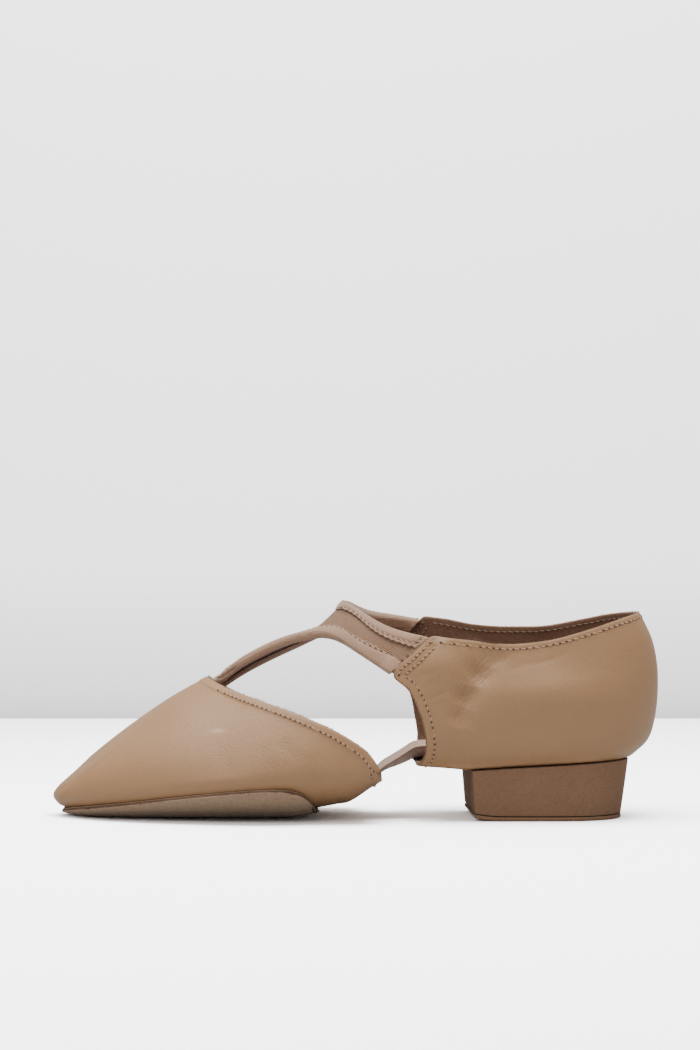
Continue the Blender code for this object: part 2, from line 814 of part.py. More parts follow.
def strapHalf(lower, upper, places, side):
    """One half of the strap as a grid: lines from its lower edge up to the crown line or its upper edge."""
    tucked = leather + gap + elasticThickness / 2 + gap / 2
    underVamp = 1.35 * tucked
    fullest = 0.09
    lines = []
    for place, low, high in zip(places, lower, upper):
        if place < baseRow:
            for point in (low, high):
                point[2] = vampTopAt(point[0], point[1]) - underVamp
        if place > seamRow - 1:
            blend = min(1, place - seamRow + 1)
            for point in (low, high):
                inside = cupSideAt(point[0], point[2], side) - side * tucked
                point[1] += (inside - point[1]) * blend
        span = np.linalg.norm(high - low)
        arching = min(1, max(0.1, (place - 6) / 4)) * min(1, max(0, (seamRow - place) / 2.5))
        bulge = fullest * span * arching
        outward = np.array((0, side * 0.6, 0.8))
        shares = np.linspace(0, 1, 25)[:, None]
        path = low + (high - low) * shares + 4 * bulge * shares * (1 - shares) * outward
        total = alongPath(path, [0])[1]
        first = min(bindingWidth, 0.55 * total)
        last = min(bindingWidth, 0.3 * total)
        middle = (first + total - last) / 2
        cuts = (0, first / 2, first, middle, total - last, total - last / 2, total)
        lines.append(alongPath(path, cuts)[0])
    return np.array(lines)


def makeBinding(name, lines, normals):
    """A folded tape round an edge. A line's first point is on the edge, and the next two are under the tape."""
    inner = elasticThickness / 2 + 1.5 * gap
    outer = inner + bindingThickness
    fold = gap + bindingThickness
    shoulder, nose, bed = 0.75, 1.2, 0.8
    points = []
    for line, normal in zip(lines, normals):
        out = line[0] - line[1]
        out /= np.linalg.norm(out)
        edge = line[0]
        points += [line[number] + normal[number] * outer for number in (2, 1, 0)]
        points += [edge + (out * fold + normal[0] * outer) * shoulder, edge + out * fold * nose]
        points += [edge + (out * fold - normal[0] * outer) * shoulder]
        points += [line[number] - normal[number] * outer for number in (0, 1, 2)]
        points += [line[number] - normal[number] * inner for number in (2, 1, 0)]
        points += [edge + out * gap - normal[0] * inner * bed, edge + out * gap + normal[0] * inner * bed]
        points += [line[number] + normal[number] * inner for number in (0, 1, 2)]
    around = len(points) // len(lines)
    faces = []
    for station in range(len(lines) - 1):
        for number in range(around):
            following = (number + 1) % around
            faces.append(
                (
                    station * around + number,
                    station * around + following,
                    (station + 1) * around + following,
                    (station + 1) * around + number,
                )
            )
    faces.append(tuple(range(around)))
    faces.append(tuple((len(lines) - 1) * around + number for number in reversed(range(around))))
    closeMesh(makeObject(name, points, faces, bindingColour, 0.85))


def makeStrap():
    """The Y strap: two halves that share the crown line, and a binding round each of its edges."""
    peakPush = 0.15
    places = np.array(
        (0, 0.8, 1.3, tapeStart, 2.2, 2.9, 3.6, 4.4, 5.1, 5.8, 6.4, 7, 7.5, 8, 8.5, peakRow, 9.12, 9.4, 9.8)
        + (10.4, 11, 11.7, 12.4, 13.1, 13.8, 14.4, 14.8, tapeEnd, 15.5, 16)
    )
    peak = int(np.argmin(abs(places - peakRow)))
    first = int(np.argmin(abs(places - tapeStart)))
    last = int(np.argmin(abs(places - tapeEnd)))
    outerUpper = strapLine((strapCrown, strapOuterTop), places)
    innerUpper = strapLine((strapCrown, strapInnerTop), places)
    outerLines = strapHalf(strapLine((strapOuterEdge,), places), outerUpper, places, -1)
    innerLines = strapHalf(strapLine((strapInnerEdge,), places), innerUpper, places, 1)
    innerLines[: peak + 1, -1] = outerLines[: peak + 1, -1]
    stations, across = outerLines.shape[:2]
    points = list(outerLines.reshape(-1, 3)) + list(innerLines.reshape(-1, 3))
    faces = sheetFaces(stations, across)
    count = stations * across
    for face in sheetFaces(stations, across):
        corners = []
        for corner in reversed(face):
            shared = corner % across == across - 1 and corner // across <= peak
            corners.append(corner if shared else corner + count)
        faces.append(tuple(corners))
    elastic = makeObject("strap_elastic", points, faces, elasticColour, 0.85)
    shape = bmesh.new()
    shape.from_mesh(elastic.data)
    loose = [vertex for vertex in shape.verts if not vertex.link_faces]
    bmesh.ops.delete(shape, geom=loose, context="VERTS")
    shape.to_mesh(elastic.data)
    shape.free()
    thicken(elastic, elasticThickness, 0)

    outerNormals = gridNormals(outerLines)
    innerNormals = -gridNormals(innerLines)
    tape = slice(first, last + 1)
    makeBinding("binding_outer", outerLines[tape, :3], outerNormals[tape, :3])
    makeBinding("binding_inner", innerLines[tape, :3], innerNormals[tape, :3])
    arm = slice(peak + 1, last + 1)
    crownPath = outerUpper[: peak + 1][::-1]
    top = alongPath(crownPath, (0, bindingWidth / 2, bindingWidth))[0]
    top[0] += (top[0] - top[1]) * peakPush
    topNormal = outerNormals[peak, -3:][::-1] + innerNormals[peak, -3:][::-1]
    topNormal /= np.linalg.norm(topNormal, axis=1, keepdims=True)
    lines = np.concatenate(
        (outerLines[arm, -3:][::-1, ::-1], top[None], innerLines[arm, -3:][:, ::-1])
    )
    normals = np.concatenate(
        (outerNormals[arm, -3:][::-1, ::-1], topNormal[None], innerNormals[arm, -3:][:, ::-1])
    )
    makeBinding("binding_top", lines, normals)


vampColour = (0.45, 0.31, 0.20)
quarterColour = (0.44, 0.30, 0.19)
patchColour = (0.38, 0.28, 0.19)
insoleColour = (0.30, 0.20, 0.13)
heelColour = (0.19, 0.105, 0.06)
treadColour = (0.15, 0.08, 0.045)
elasticColour = (0.33, 0.20, 0.13)
bindingColour = (0.43, 0.30, 0.21)
archColour = (0.56, 0.45, 0.39)

for old in list(bpy.data.objects):
    bpy.data.objects.remove(old, do_unlink=True)
shoe = bpy.data.collections.new("jazz shoe")
bpy.context.scene.collection.children.link(shoe)

makeVamp()
makePatch()
makeQuarter()
makeHeel()
makeArch()
makeStrap()

# The whole shoe is centred over its box, so that its origin is the middle of the floor under it
bpy.context.view_layer.update()
graph = bpy.context.evaluated_depsgraph_get()
spots = []
for made in shoe.objects:
    shaped = made.evaluated_get(graph)
    spots += [vertex.co.copy() for vertex in shaped.data.vertices]
middleX = (min(spot.x for spot in spots) + max(spot.x for spot in spots)) / 2
middleY = (min(spot.y for spot in spots) + max(spot.y for spot in spots)) / 2
for made in shoe.objects:
    made.location = (-middleX, -middleY, 0)
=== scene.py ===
import math
import random

import bmesh
import bpy
import numpy as np
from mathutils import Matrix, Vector
from mathutils.bvhtree import BVHTree
from mathutils.kdtree import KDTree


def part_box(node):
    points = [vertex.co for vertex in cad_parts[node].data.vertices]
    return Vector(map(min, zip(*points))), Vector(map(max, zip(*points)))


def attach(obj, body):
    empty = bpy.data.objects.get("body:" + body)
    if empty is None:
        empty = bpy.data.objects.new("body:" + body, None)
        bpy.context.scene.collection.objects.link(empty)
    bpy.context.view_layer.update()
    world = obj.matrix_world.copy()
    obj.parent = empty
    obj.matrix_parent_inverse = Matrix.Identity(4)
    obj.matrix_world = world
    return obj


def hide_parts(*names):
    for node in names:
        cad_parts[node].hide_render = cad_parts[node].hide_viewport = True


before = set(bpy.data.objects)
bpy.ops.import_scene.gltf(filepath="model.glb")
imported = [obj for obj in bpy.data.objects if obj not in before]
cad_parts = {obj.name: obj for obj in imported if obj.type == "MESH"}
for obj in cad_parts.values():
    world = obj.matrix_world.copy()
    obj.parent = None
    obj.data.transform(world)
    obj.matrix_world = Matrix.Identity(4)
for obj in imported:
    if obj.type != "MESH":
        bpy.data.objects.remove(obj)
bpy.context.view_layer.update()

# Camera, as in the photo: level, low, and looking straight across the shoe's outer side
view = {"x": -0.001886, "y": -1.159452, "z": 0.1156, "lens": 100.0}
camera = bpy.data.objects.new("camera", bpy.data.cameras.new("camera"))
camera.data.lens = view["lens"]
camera.location = (view["x"], view["y"], view["z"])
camera.rotation_euler = (math.radians(90), 0, 0)
bpy.context.scene.collection.objects.link(camera)
bpy.context.scene.camera = camera


# Small helpers for shader trees
def addNode(tree, kind, sockets=None, **settings):
    made = tree.nodes.new("ShaderNode" + kind)
    for name, value in settings.items():
        setattr(made, name, value)
    for name, value in (sockets or {}).items():
        made.inputs[name].default_value = value
    return made


def join(tree, source, output, target, socket):
    tree.links.new(source.outputs[output], target.inputs[socket])


def startGroup(name, inputs, outputs):
    group = bpy.data.node_groups.new(name, "ShaderNodeTree")
    for label, kind in inputs:
        group.interface.new_socket(name=label, in_out="INPUT", socket_type="NodeSocket" + kind)
    for label, kind in outputs:
        group.interface.new_socket(name=label, in_out="OUTPUT", socket_type="NodeSocket" + kind)
    return group, group.nodes.new("NodeGroupInput"), group.nodes.new("NodeGroupOutput")


def useGroup(tree, group, **values):
    made = tree.nodes.new("ShaderNodeGroup")
    made.node_tree = group
    for name, value in values.items():
        made.inputs[name].default_value = value
    return made


def mathNode(tree, operation, first, second=None, clamp=False):
    made = tree.nodes.new("ShaderNodeMath")
    made.operation = operation
    made.use_clamp = clamp
    for index, item in enumerate((first, second)):
        if isinstance(item, (int, float)):
            made.inputs[index].default_value = item
        elif item is not None:
            tree.links.new(item, made.inputs[index])
    return made.outputs[0]


# Leather's fine pebble, with a soft mottle for its dye
def buildGrain():
    group, given, out = startGroup(
        "leatherGrain",
        (("Place", "Vector"), ("Fineness", "Float")),
        (("Height", "Float"), ("Mottle", "Float")),
    )
    cells = addNode(group, "TexVoronoi", feature="DISTANCE_TO_EDGE")
    join(group, given, "Place", cells, "Vector")
    join(group, given, "Fineness", cells, "Scale")
    pores = addNode(group, "TexNoise", {"Detail": 3.0, "Roughness": 0.6})
    join(group, given, "Place", pores, "Vector")
    group.links.new(mathNode(group, "MULTIPLY", given.outputs["Fineness"], 1.7), pores.inputs["Scale"])
    flat = mathNode(group, "MULTIPLY", cells.outputs["Distance"], 4.0, clamp=True)
    mixed = mathNode(group, "ADD", flat, pores.outputs["Fac"])
    group.links.new(mathNode(group, "MULTIPLY", mixed, 0.5), out.inputs["Height"])
    dye = addNode(group, "TexNoise", {"Scale": 45.0, "Detail": 5.0, "Roughness": 0.62})
    join(group, given, "Place", dye, "Vector")
    group.links.new(dye.outputs["Fac"], out.inputs["Mottle"])
    return group


# Suede's nap: short fibres, and brushed patches where they lie another way
def buildNap():
    group, given, out = startGroup(
        "suedeNap",
        (("Place", "Vector"), ("Fineness", "Float")),
        (("Height", "Float"), ("Speckle", "Float"), ("Brushed", "Float")),
    )
    fibres = addNode(group, "TexNoise", {"Detail": 6.0, "Roughness": 0.75})
    join(group, given, "Place", fibres, "Vector")
    join(group, given, "Fineness", fibres, "Scale")
    group.links.new(fibres.outputs["Fac"], out.inputs["Height"])
    dots = addNode(group, "TexNoise", {"Detail": 2.0, "Roughness": 0.5})
    join(group, given, "Place", dots, "Vector")
    group.links.new(mathNode(group, "MULTIPLY", given.outputs["Fineness"], 0.62), dots.inputs["Scale"])
    raised = mathNode(group, "SUBTRACT", dots.outputs["Fac"], 0.47)
    group.links.new(mathNode(group, "MULTIPLY", raised, 5.0, clamp=True), out.inputs["Speckle"])
    brushed = addNode(group, "TexNoise", {"Scale": 70.0, "Detail": 3.0, "Distortion": 0.6})
    join(group, given, "Place", brushed, "Vector")
    group.links.new(brushed.outputs["Fac"], out.inputs["Brushed"])
    return group


# Ribs of a woven tape: Place is the way across the ribs and Run the way along them, both in metres
def buildRibs():
    group, given, out = startGroup(
        "wovenRibs",
        (("Place", "Float"), ("Run", "Float"), ("Pitch", "Float"), ("Pick", "Float")),
        (("Height", "Float"), ("GrooveShade", "Float")),
    )

    def wave(socket, size):
        turns = mathNode(group, "DIVIDE", given.outputs[socket], given.outputs[size])
        angle = mathNode(group, "MULTIPLY", turns, 2 * math.pi)
        lifted = mathNode(group, "ADD", mathNode(group, "SINE", angle), 1.0)
        return mathNode(group, "MULTIPLY", lifted, 0.5)

    rib = wave("Place", "Pitch")
    pick = wave("Run", "Pick")
    knots = mathNode(group, "MULTIPLY", pick, mathNode(group, "ADD", rib, 0.3))
    height = mathNode(group, "ADD", rib, mathNode(group, "MULTIPLY", knots, 0.45))
    group.links.new(height, out.inputs["Height"])
    # Painted shade: Groove marks the low parts between the ribs, where the colour is darkened
    low = mathNode(group, "SUBTRACT", 0.42, rib)
    group.links.new(mathNode(group, "MULTIPLY", low, 2.4, clamp=True), out.inputs["GrooveShade"])
    return group


# Two colours mixed by a mask, each step keeping what came before
def buildTint():
    group, given, out = startGroup(
        "maskedTint",
        (("Base", "Color"), ("Tint", "Color"), ("Mask", "Float"), ("Amount", "Float")),
        (("Color", "Color"),),
    )
    mix = addNode(group, "Mix", data_type="RGBA")
    strength = mathNode(group, "MULTIPLY", given.outputs["Mask"], given.outputs["Amount"], clamp=True)
    group.links.new(strength, mix.inputs["Factor"])
    group.links.new(given.outputs["Base"], mix.inputs[6])
    group.links.new(given.outputs["Tint"], mix.inputs[7])
    group.links.new(mix.outputs[2], out.inputs["Color"])
    return group


grain = buildGrain()
nap = buildNap()
ribs = buildRibs()
tint = buildTint()


def startMaterial(name, roughness, specular=0.5, sheen=0.0, sheenRoughness=0.5):
    material = bpy.data.materials.new(name)
    material.use_nodes = True
    tree = material.node_tree
    shader = tree.nodes["Principled BSDF"]
    shader.inputs["Roughness"].default_value = roughness
    shader.inputs["Specular IOR Level"].default_value = specular
    shader.inputs["Sheen Weight"].default_value = sheen
    shader.inputs["Sheen Roughness"].default_value = sheenRoughness
    place = addNode(tree, "TexCoord")
    return material, tree, shader, place


def addTint(tree, base, colour, mask, amount):
    made = useGroup(tree, tint, Tint=(*colour, 1), Amount=amount)
    if isinstance(base, tuple):
        made.inputs["Base"].default_value = (*base, 1)
    else:
        tree.links.new(base, made.inputs["Base"])
    tree.links.new(mask, made.inputs["Mask"])
    return made.outputs["Color"]


def addBump(tree, shader, height, distance, strength):
    bump = addNode(tree, "Bump", {"Distance": distance, "Strength": strength})
    tree.links.new(height, bump.inputs["Height"])
    join(tree, bump, "Normal", shader, "Normal")
    return bump


def makeLeather(name, look):
    material, tree, shader, place = startMaterial(name, look["roughness"], look["gloss"])
    surface = useGroup(tree, grain, Fineness=look["fineness"])
    join(tree, place, "Object", surface, "Place")
    creaseShading = addNode(tree, "Attribute", attribute_name="creaseShade")
    colour = addTint(tree, look["colour"], look["dark"], surface.outputs["Mottle"], look["mottle"])
    # Painted shade: the leather is darkened in its creases and worked hollows by the crease mask
    colour = addTint(tree, colour, look["creaseShadeColour"], creaseShading.outputs["Fac"], look["creaseShading"])
    rubbed = addNode(tree, "Attribute", attribute_name="rub")
    colour = addTint(tree, colour, look["rubColour"], rubbed.outputs["Fac"], 1.0)
    tree.links.new(colour, shader.inputs["Base Color"])
    spread = mathNode(tree, "MULTIPLY", surface.outputs["Mottle"], look["patchy"])
    uneven = mathNode(tree, "ADD", spread, look["roughness"] - look["patchy"] / 2)
    tree.links.new(uneven, shader.inputs["Roughness"])
    fine = addNode(tree, "TexNoise", {"Scale": look["wrinkleScale"], "Detail": 4.0, "Distortion": 0.8})
    stretched = addNode(tree, "Mapping", vector_type="TEXTURE")
    stretched.inputs["Rotation"].default_value = (0, math.radians(look["wrinkleTurn"]), 0)
    stretched.inputs["Scale"].default_value = (1.0, 1.0, look["wrinkleNarrow"])
    join(tree, place, "Object", stretched, "Vector")
    join(tree, stretched, "Vector", fine, "Vector")
    where = mathNode(tree, "MULTIPLY", creaseShading.outputs["Fac"], look["wrinkled"])
    worked = mathNode(tree, "MULTIPLY", fine.outputs["Fac"], where)
    height = mathNode(tree, "ADD", surface.outputs["Height"], worked)
    addBump(tree, shader, height, look["depth"], look["bump"])
    return material


def makeSuede(name, look):
    material, tree, shader, place = startMaterial(name, look["roughness"], 0.15, look["sheen"], 0.45)
    surface = useGroup(tree, nap, Fineness=look["fineness"])
    join(tree, place, "Object", surface, "Place")
    colour = addTint(tree, look["colour"], look["speckle"], surface.outputs["Speckle"], look["speckled"])
    colour = addTint(tree, colour, look["brushed"], surface.outputs["Brushed"], look["brushing"])
    tree.links.new(colour, shader.inputs["Base Color"])
    addBump(tree, shader, surface.outputs["Height"], look["depth"], look["bump"])
    return material


def makeTape(name, look):
    material, tree, shader, place = startMaterial(name, look["roughness"], 0.2, look["sheen"], 0.5)
    across = addNode(tree, "Attribute", attribute_name="across")
    along = addNode(tree, "Attribute", attribute_name="along")
    surface = useGroup(tree, ribs, Pitch=look["pitch"], Pick=look["pick"])
    join(tree, across, "Fac", surface, "Place")
    join(tree, along, "Fac", surface, "Run")
    hairs = useGroup(tree, nap, Fineness=look["fineness"])
    join(tree, place, "Object", hairs, "Place")
    # Painted shade between the ribs; the speckle below is the tape's own tone
    colour = addTint(tree, look["colour"], look["grooveShadeAndSpeckle"], surface.outputs["GrooveShade"], look["grooveShading"])
    colour = addTint(tree, colour, look["faded"], hairs.outputs["Brushed"], look["fading"])
    colour = addTint(tree, colour, look["grooveShadeAndSpeckle"], hairs.outputs["Speckle"], look["speckled"])
    # Painted shade along the crease mask: the pulled stitch line of a binding and the fold under the arch's
    # edges
    pressedShade = addNode(tree, "Attribute", attribute_name="creaseShade")
    colour = addTint(tree, colour, look["grooveShadeAndSpeckle"], pressedShade.outputs["Fac"], look["pressedShade"])
    tree.links.new(colour, shader.inputs["Base Color"])
    fuzz = mathNode(tree, "MULTIPLY", hairs.outputs["Height"], 0.5)
    height = mathNode(tree, "ADD", surface.outputs["Height"], fuzz)
    addBump(tree, shader, height, look["depth"], look["bump"])
    return material


print("shaders ready")

# Finishes. Colours are linear
leatherLook = {
    "colour": (0.385, 0.212, 0.100),
    "dark": (0.300, 0.157, 0.071),
    "mottle": 0.5,
    "creaseShadeColour": (0.19, 0.088, 0.038),
    "creaseShading": 0.12,
    "rubColour": (0.74, 0.60, 0.45),
    "roughness": 0.44,
    "gloss": 0.45,
    "patchy": 0.14,
    "fineness": 1500.0,
    "wrinkleScale": 230.0,
    "wrinkleTurn": 38.0,
    "wrinkleNarrow": 0.22,
    "wrinkled": 4.5,
    "depth": 0.00012,
    "bump": 0.75,
}
fleshLook = {
    "colour": (0.175, 0.092, 0.055),
    "speckle": (0.100, 0.048, 0.028),
    "speckled": 0.55,
    "brushed": (0.30, 0.175, 0.115),
    "brushing": 0.65,
    "roughness": 0.95,
    "sheen": 0.2,
    "fineness": 1300.0,
    "depth": 0.0005,
    "bump": 0.8,
}
rawEdgeLook = dict(
    fleshLook,
    colour=(0.27, 0.155, 0.085),
    speckle=(0.10, 0.05, 0.028),
    fineness=2200.0,
    depth=0.0002,
)
patchLook = {
    "colour": (0.370, 0.252, 0.160),
    "speckle": (0.135, 0.084, 0.050),
    "speckled": 0.55,
    "brushed": (0.41, 0.29, 0.195),
    "brushing": 0.35,
    "roughness": 0.94,
    "sheen": 0.12,
    "fineness": 2600.0,
    "depth": 0.00018,
    "bump": 0.6,
}
heelLook = {
    "colour": (0.250, 0.141, 0.080),
    "speckle": (0.125, 0.064, 0.035),
    "speckled": 0.5,
    "brushed": (0.30, 0.172, 0.105),
    "brushing": 0.5,
    "roughness": 0.95,
    "sheen": 0.06,
    "fineness": 2800.0,
    "depth": 0.00018,
    "bump": 0.6,
}
insoleLook = dict(fleshLook, colour=(0.33, 0.225, 0.155), speckled=0.4, fineness=1400.0, depth=0.0002)
elasticLook = {
    "colour": (0.300, 0.168, 0.094),
    "grooveShadeAndSpeckle": (0.085, 0.038, 0.020),
    "grooveShading": 0.85,
    "faded": (0.38, 0.23, 0.14),
    "fading": 0.4,
    "speckled": 0.10,
    "pressedShade": 0.75,
    "roughness": 0.75,
    "sheen": 0.2,
    "pitch": 0.00055,
    "pick": 0.00055,
    "fineness": 2500.0,
    "depth": 0.00022,
    "bump": 0.8,
}
bindingLook = {
    "colour": (0.385, 0.228, 0.142),
    "grooveShadeAndSpeckle": (0.23, 0.125, 0.074),
    "grooveShading": 0.35,
    "faded": (0.47, 0.305, 0.205),
    "fading": 0.45,
    "speckled": 0.35,
    "pressedShade": 0.75,
    "roughness": 0.88,
    "sheen": 0.45,
    "pitch": 0.00045,
    "pick": 0.00045,
    "fineness": 2600.0,
    "depth": 0.00010,
    "bump": 0.6,
}
archLook = dict(
    bindingLook,
    colour=(0.600, 0.385, 0.285),
    grooveShadeAndSpeckle=(0.10, 0.032, 0.022),
    faded=(0.68, 0.48, 0.38),
    grooveShading=0.15,
    speckled=0.10,
    pitch=0.0010,
    pick=0.0006,
    depth=0.00030,
)
threadLook = dict(bindingLook, colour=(0.50, 0.305, 0.175), faded=(0.60, 0.40, 0.25), speckled=0.2)
# A darker copy of the thread for the inside rows: painted shade
shadedLiningLook = dict(threadLook, colour=(0.24, 0.14, 0.085), faded=(0.30, 0.19, 0.12))
holeShadeLook = dict(fleshLook, colour=(0.055, 0.030, 0.018), speckle=(0.02, 0.01, 0.006))
# Dark suede for the patch's cut edge and fibres; on the fibres along the heel's upper edge it is painted
# shadow of the gap
darkEdgeAndGapShadeLook = dict(heelLook, colour=(0.110, 0.062, 0.040), speckle=(0.05, 0.028, 0.018))

tanLeather = makeLeather("tanLeather", leatherLook)
cupLeather = makeLeather("cupLeather", dict(leatherLook, wrinkleTurn=-48.0, wrinkled=6.0))
fleshSide = makeSuede("fleshSide", fleshLook)
rawEdge = makeSuede("rawEdge", rawEdgeLook)
patchSuede = makeSuede("patchSuede", patchLook)
heelSuede = makeSuede("heelSuede", heelLook)
darkEdgeAndGapShade = makeSuede("darkEdgeAndGapShade", darkEdgeAndGapShadeLook)
insoleSuede = makeSuede("insoleSuede", insoleLook)
strapElastic = makeTape("strapElastic", elasticLook)
bindingTape = makeTape("bindingTape", bindingLook)
archElastic = makeTape("archElastic", archLook)
sewingThread = makeTape("sewingThread", threadLook)
shadedLiningThread = makeTape("shadedLiningThread", shadedLiningLook)
needleHoleShade = makeSuede("needleHoleShade", holeShadeLook)
print("materials ready")


# Pieces that follow a CAD node: its mesh merged into quads, then refined
def pick(piece):
    bpy.ops.object.select_all(action="DESELECT")
    piece.select_set(True)
    bpy.context.view_layer.objects.active = piece


# How near two points are one, how sharp an edge is a rim, and how far out a row of stitches is looked for
meshStyle = {"weld": 0.00002, "rimAngle": 0.85, "rowLift": 0.0004}


def takeCopy(node, name, slot, *materials):
    piece = bpy.data.objects.new(name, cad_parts[node].data.copy())
    bpy.context.scene.collection.objects.link(piece)
    piece.data.materials.clear()
    for material in materials:
        piece.data.materials.append(material)
    pick(piece)
    bpy.ops.object.mode_set(mode="EDIT")
    bpy.ops.mesh.select_all(action="SELECT")
    bpy.ops.mesh.remove_doubles(threshold=meshStyle["weld"])
    bpy.ops.mesh.tris_convert_to_quads(face_threshold=math.radians(60), shape_threshold=math.radians(80))
    bpy.ops.object.mode_set(mode="OBJECT")
    bpy.ops.object.shade_smooth()
    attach(piece, "root")
    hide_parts(node)
    return piece


def subdivide(piece, levels):
    pick(piece)
    smooth = piece.modifiers.new("smooth", "SUBSURF")
    smooth.levels = levels
    smooth.render_levels = levels
    bpy.ops.object.modifier_apply(modifier="smooth")


def refine(piece, levels, edge=0.0, hold=0, edgeMaterial=-1):
    # A smoothed surface shrinks, so its corners are first pushed out until it meets the part's own points
    pick(piece)
    if edge:
        bevel = piece.modifiers.new("edge", "BEVEL")
        bevel.width = edge
        bevel.segments = 2
        bevel.material = edgeMaterial
        bevel.limit_method = "ANGLE"
        bevel.angle_limit = math.radians(42)
        bpy.ops.object.modifier_apply(modifier="edge")
    target, _ = readMesh(piece)
    corners = target.copy()
    for _ in range(hold):
        writeMesh(piece, corners)
        trial = bpy.data.objects.new("trial", piece.data.copy())
        bpy.context.scene.collection.objects.link(trial)
        subdivide(trial, 1)
        settled, _ = readMesh(trial)
        bpy.data.objects.remove(trial)
        corners = corners + (target - settled[:len(corners)]) * 0.8
    writeMesh(piece, corners)
    pick(piece)
    subdivide(piece, levels)


def readMesh(piece):
    count = len(piece.data.vertices)
    points = np.empty(count * 3, np.float32)
    normals = np.empty(count * 3, np.float32)
    piece.data.vertices.foreach_get("co", points)
    piece.data.vertex_normals.foreach_get("vector", normals)
    return points.reshape(-1, 3).astype(float), normals.reshape(-1, 3).astype(float)


def writeMesh(piece, points):
    piece.data.vertices.foreach_set("co", points.astype(np.float32).ravel())
    piece.data.update()


def writeAttribute(piece, name, values):
    made = piece.data.attributes.get(name) or piece.data.attributes.new(name, "FLOAT", "POINT")
    made.data.foreach_set("value", np.asarray(values, np.float32))


def surfaceOf(piece):
    shape = bmesh.new()
    shape.from_mesh(piece.data)
    tree = BVHTree.FromBMesh(shape)
    shape.free()
    return tree


def wayOut(points, spine):
    # From the shoe's middle line outwards; the same way on both faces of a wall
    middle = np.stack((np.clip(points[:, 0], spine["from"], spine["to"]), np.zeros(len(points)),
                       np.interp(points[:, 0], spine["places"], spine["heights"])), axis=1)
    way = points - middle
    return way / np.linalg.norm(way, axis=1, keepdims=True)


def sortFaces(piece, spine):
    # Material 0 outside, 1 on the flesh side and 2 on the cut edge. Returns the outside's edge loops
    shape = bmesh.new()
    shape.from_mesh(piece.data)
    shape.faces.ensure_lookup_table()
    shape.normal_update()
    centres = np.array([face.calc_center_median() for face in shape.faces])
    normals = np.array([face.normal for face in shape.faces])
    outer = (wayOut(centres, spine) * normals).sum(axis=1) > 0
    joined = [edge for edge in shape.edges if len(edge.link_faces) == 2]
    sharp = {edge for edge in joined if edge.calc_face_angle(0) > meshStyle["rimAngle"]}
    cornered = {vertex for edge in sharp for vertex in edge.verts}
    rim = {face for face in shape.faces if all(vertex in cornered for vertex in face.verts)}
    for face in shape.faces:
        face.material_index = 2 if face in rim else int(not outer[face.index])
    beside = {}
    for edge in shape.edges:
        faces = [face for face in edge.link_faces if face not in rim and outer[face.index]]
        if len(faces) == 1 and any(face in rim for face in edge.link_faces):
            beside[edge] = faces[0]
    loops = []
    free = set(beside)
    while free:
        edge = min(free, key=lambda item: item.index)
        free.discard(edge)
        chain = [edge.verts[0], edge.verts[1]]
        found = True
        while found:
            found = False
            for following in chain[-1].link_edges:
                if following in free:
                    free.discard(following)
                    chain.append(following.other_vert(chain[-1]))
                    found = True
                    break
        if len(chain) > 12:
            loop = []
            for vertex in chain[:-1]:
                faces = [beside[e] for e in vertex.link_edges if e in beside]
                normal = sum((face.normal for face in faces), Vector()).normalized()
                inward = sum((face.calc_center_median() for face in faces), Vector()) / len(faces) - vertex.co
                loop.append((vertex.co.copy(), normal, inward.normalized()))
            loops.append(loop)
    shape.to_mesh(piece.data)
    shape.free()
    return sorted(loops, key=lambda loop: -max(place[0].z for place in loop))


def rowBeside(loop, offset, surface, chosen):
    # A row of places beside an edge, the given distance in from it, where chosen(point) holds
    count = len(loop)
    rows = []
    row = []
    start = next((i for i in range(count) if not chosen(loop[i][0])), 0)
    for step in range(count + 1):
        point, normal, inward = loop[(start + step) % count]
        if not chosen(point):
            if len(row) > 2:
                rows.append(row)
            row = []
            continue
        tangent = (loop[(start + step + 1) % count][0] - loop[(start + step - 1) % count][0]).normalized()
        across = normal.cross(tangent)
        across = across if across.dot(inward) > 0 else -across
        sought = point + across * offset + normal * meshStyle["rowLift"]
        spot, facing, _, _ = surface.find_nearest(sought)
        row.append((spot, facing if facing.dot(normal) > 0 else normal))
    if len(row) > 2:
        rows.append(row)
    return rows


def evenly(row, pitch, surface):
    # The row's places spaced evenly along a smooth curve, with the way along and the way out
    points = np.array([tuple(place) for place, _ in row])
    reached = np.concatenate(([0], np.cumsum(np.linalg.norm(np.diff(points, axis=0), axis=1))))
    count = max(2, int(round(reached[-1] / pitch)))
    wanted = np.linspace(0, reached[-1], count * 4 + 1)
    fine = np.stack([np.interp(wanted, reached, points[:, axis]) for axis in range(3)], axis=1)
    for _ in range(6):
        fine[1:-1] = fine[1:-1] / 2 + (fine[:-2] + fine[2:]) / 4
    made = []
    for number in range(count):
        middle = Vector(fine[number * 4 + 2])
        along = Vector(fine[number * 4 + 4] - fine[number * 4]).normalized()
        spot, facing, _, _ = surface.find_nearest(middle)
        if facing.dot(row[min(len(row) - 1, int(number * len(row) / count))][1]) < 0:
            facing = -facing
        made.append((spot, along, (facing - along * facing.dot(along)).normalized()))
    return made


def soften(piece, middle, reach, rounds, restore):
    # Rounds off what is sharp near a place, then moves it back out by a share of what its end has lost
    points, _ = readMesh(piece)
    pairs = np.empty(len(piece.data.edges) * 2, np.int32)
    piece.data.edges.foreach_get("vertices", pairs)
    first, second = pairs.reshape(-1, 2).T
    weight = np.clip(1.4 - np.linalg.norm(points - np.array(middle), axis=1) / reach * 1.4, 0, 1)[:, None]
    links = np.zeros((len(points), 1))
    np.add.at(links, first, 1)
    np.add.at(links, second, 1)
    end = points[:, 0].min()
    for _ in range(rounds):
        total = np.zeros_like(points)
        np.add.at(total, first, points[second])
        np.add.at(total, second, points[first])
        points += (total / links - points) * 0.5 * weight
    points[:, 0] += (end - points[:, 0].min()) * restore * weight[:, 0]
    writeMesh(piece, points)


creaseStyle = {"fineUnder": 2, "fineShare": 0.24}


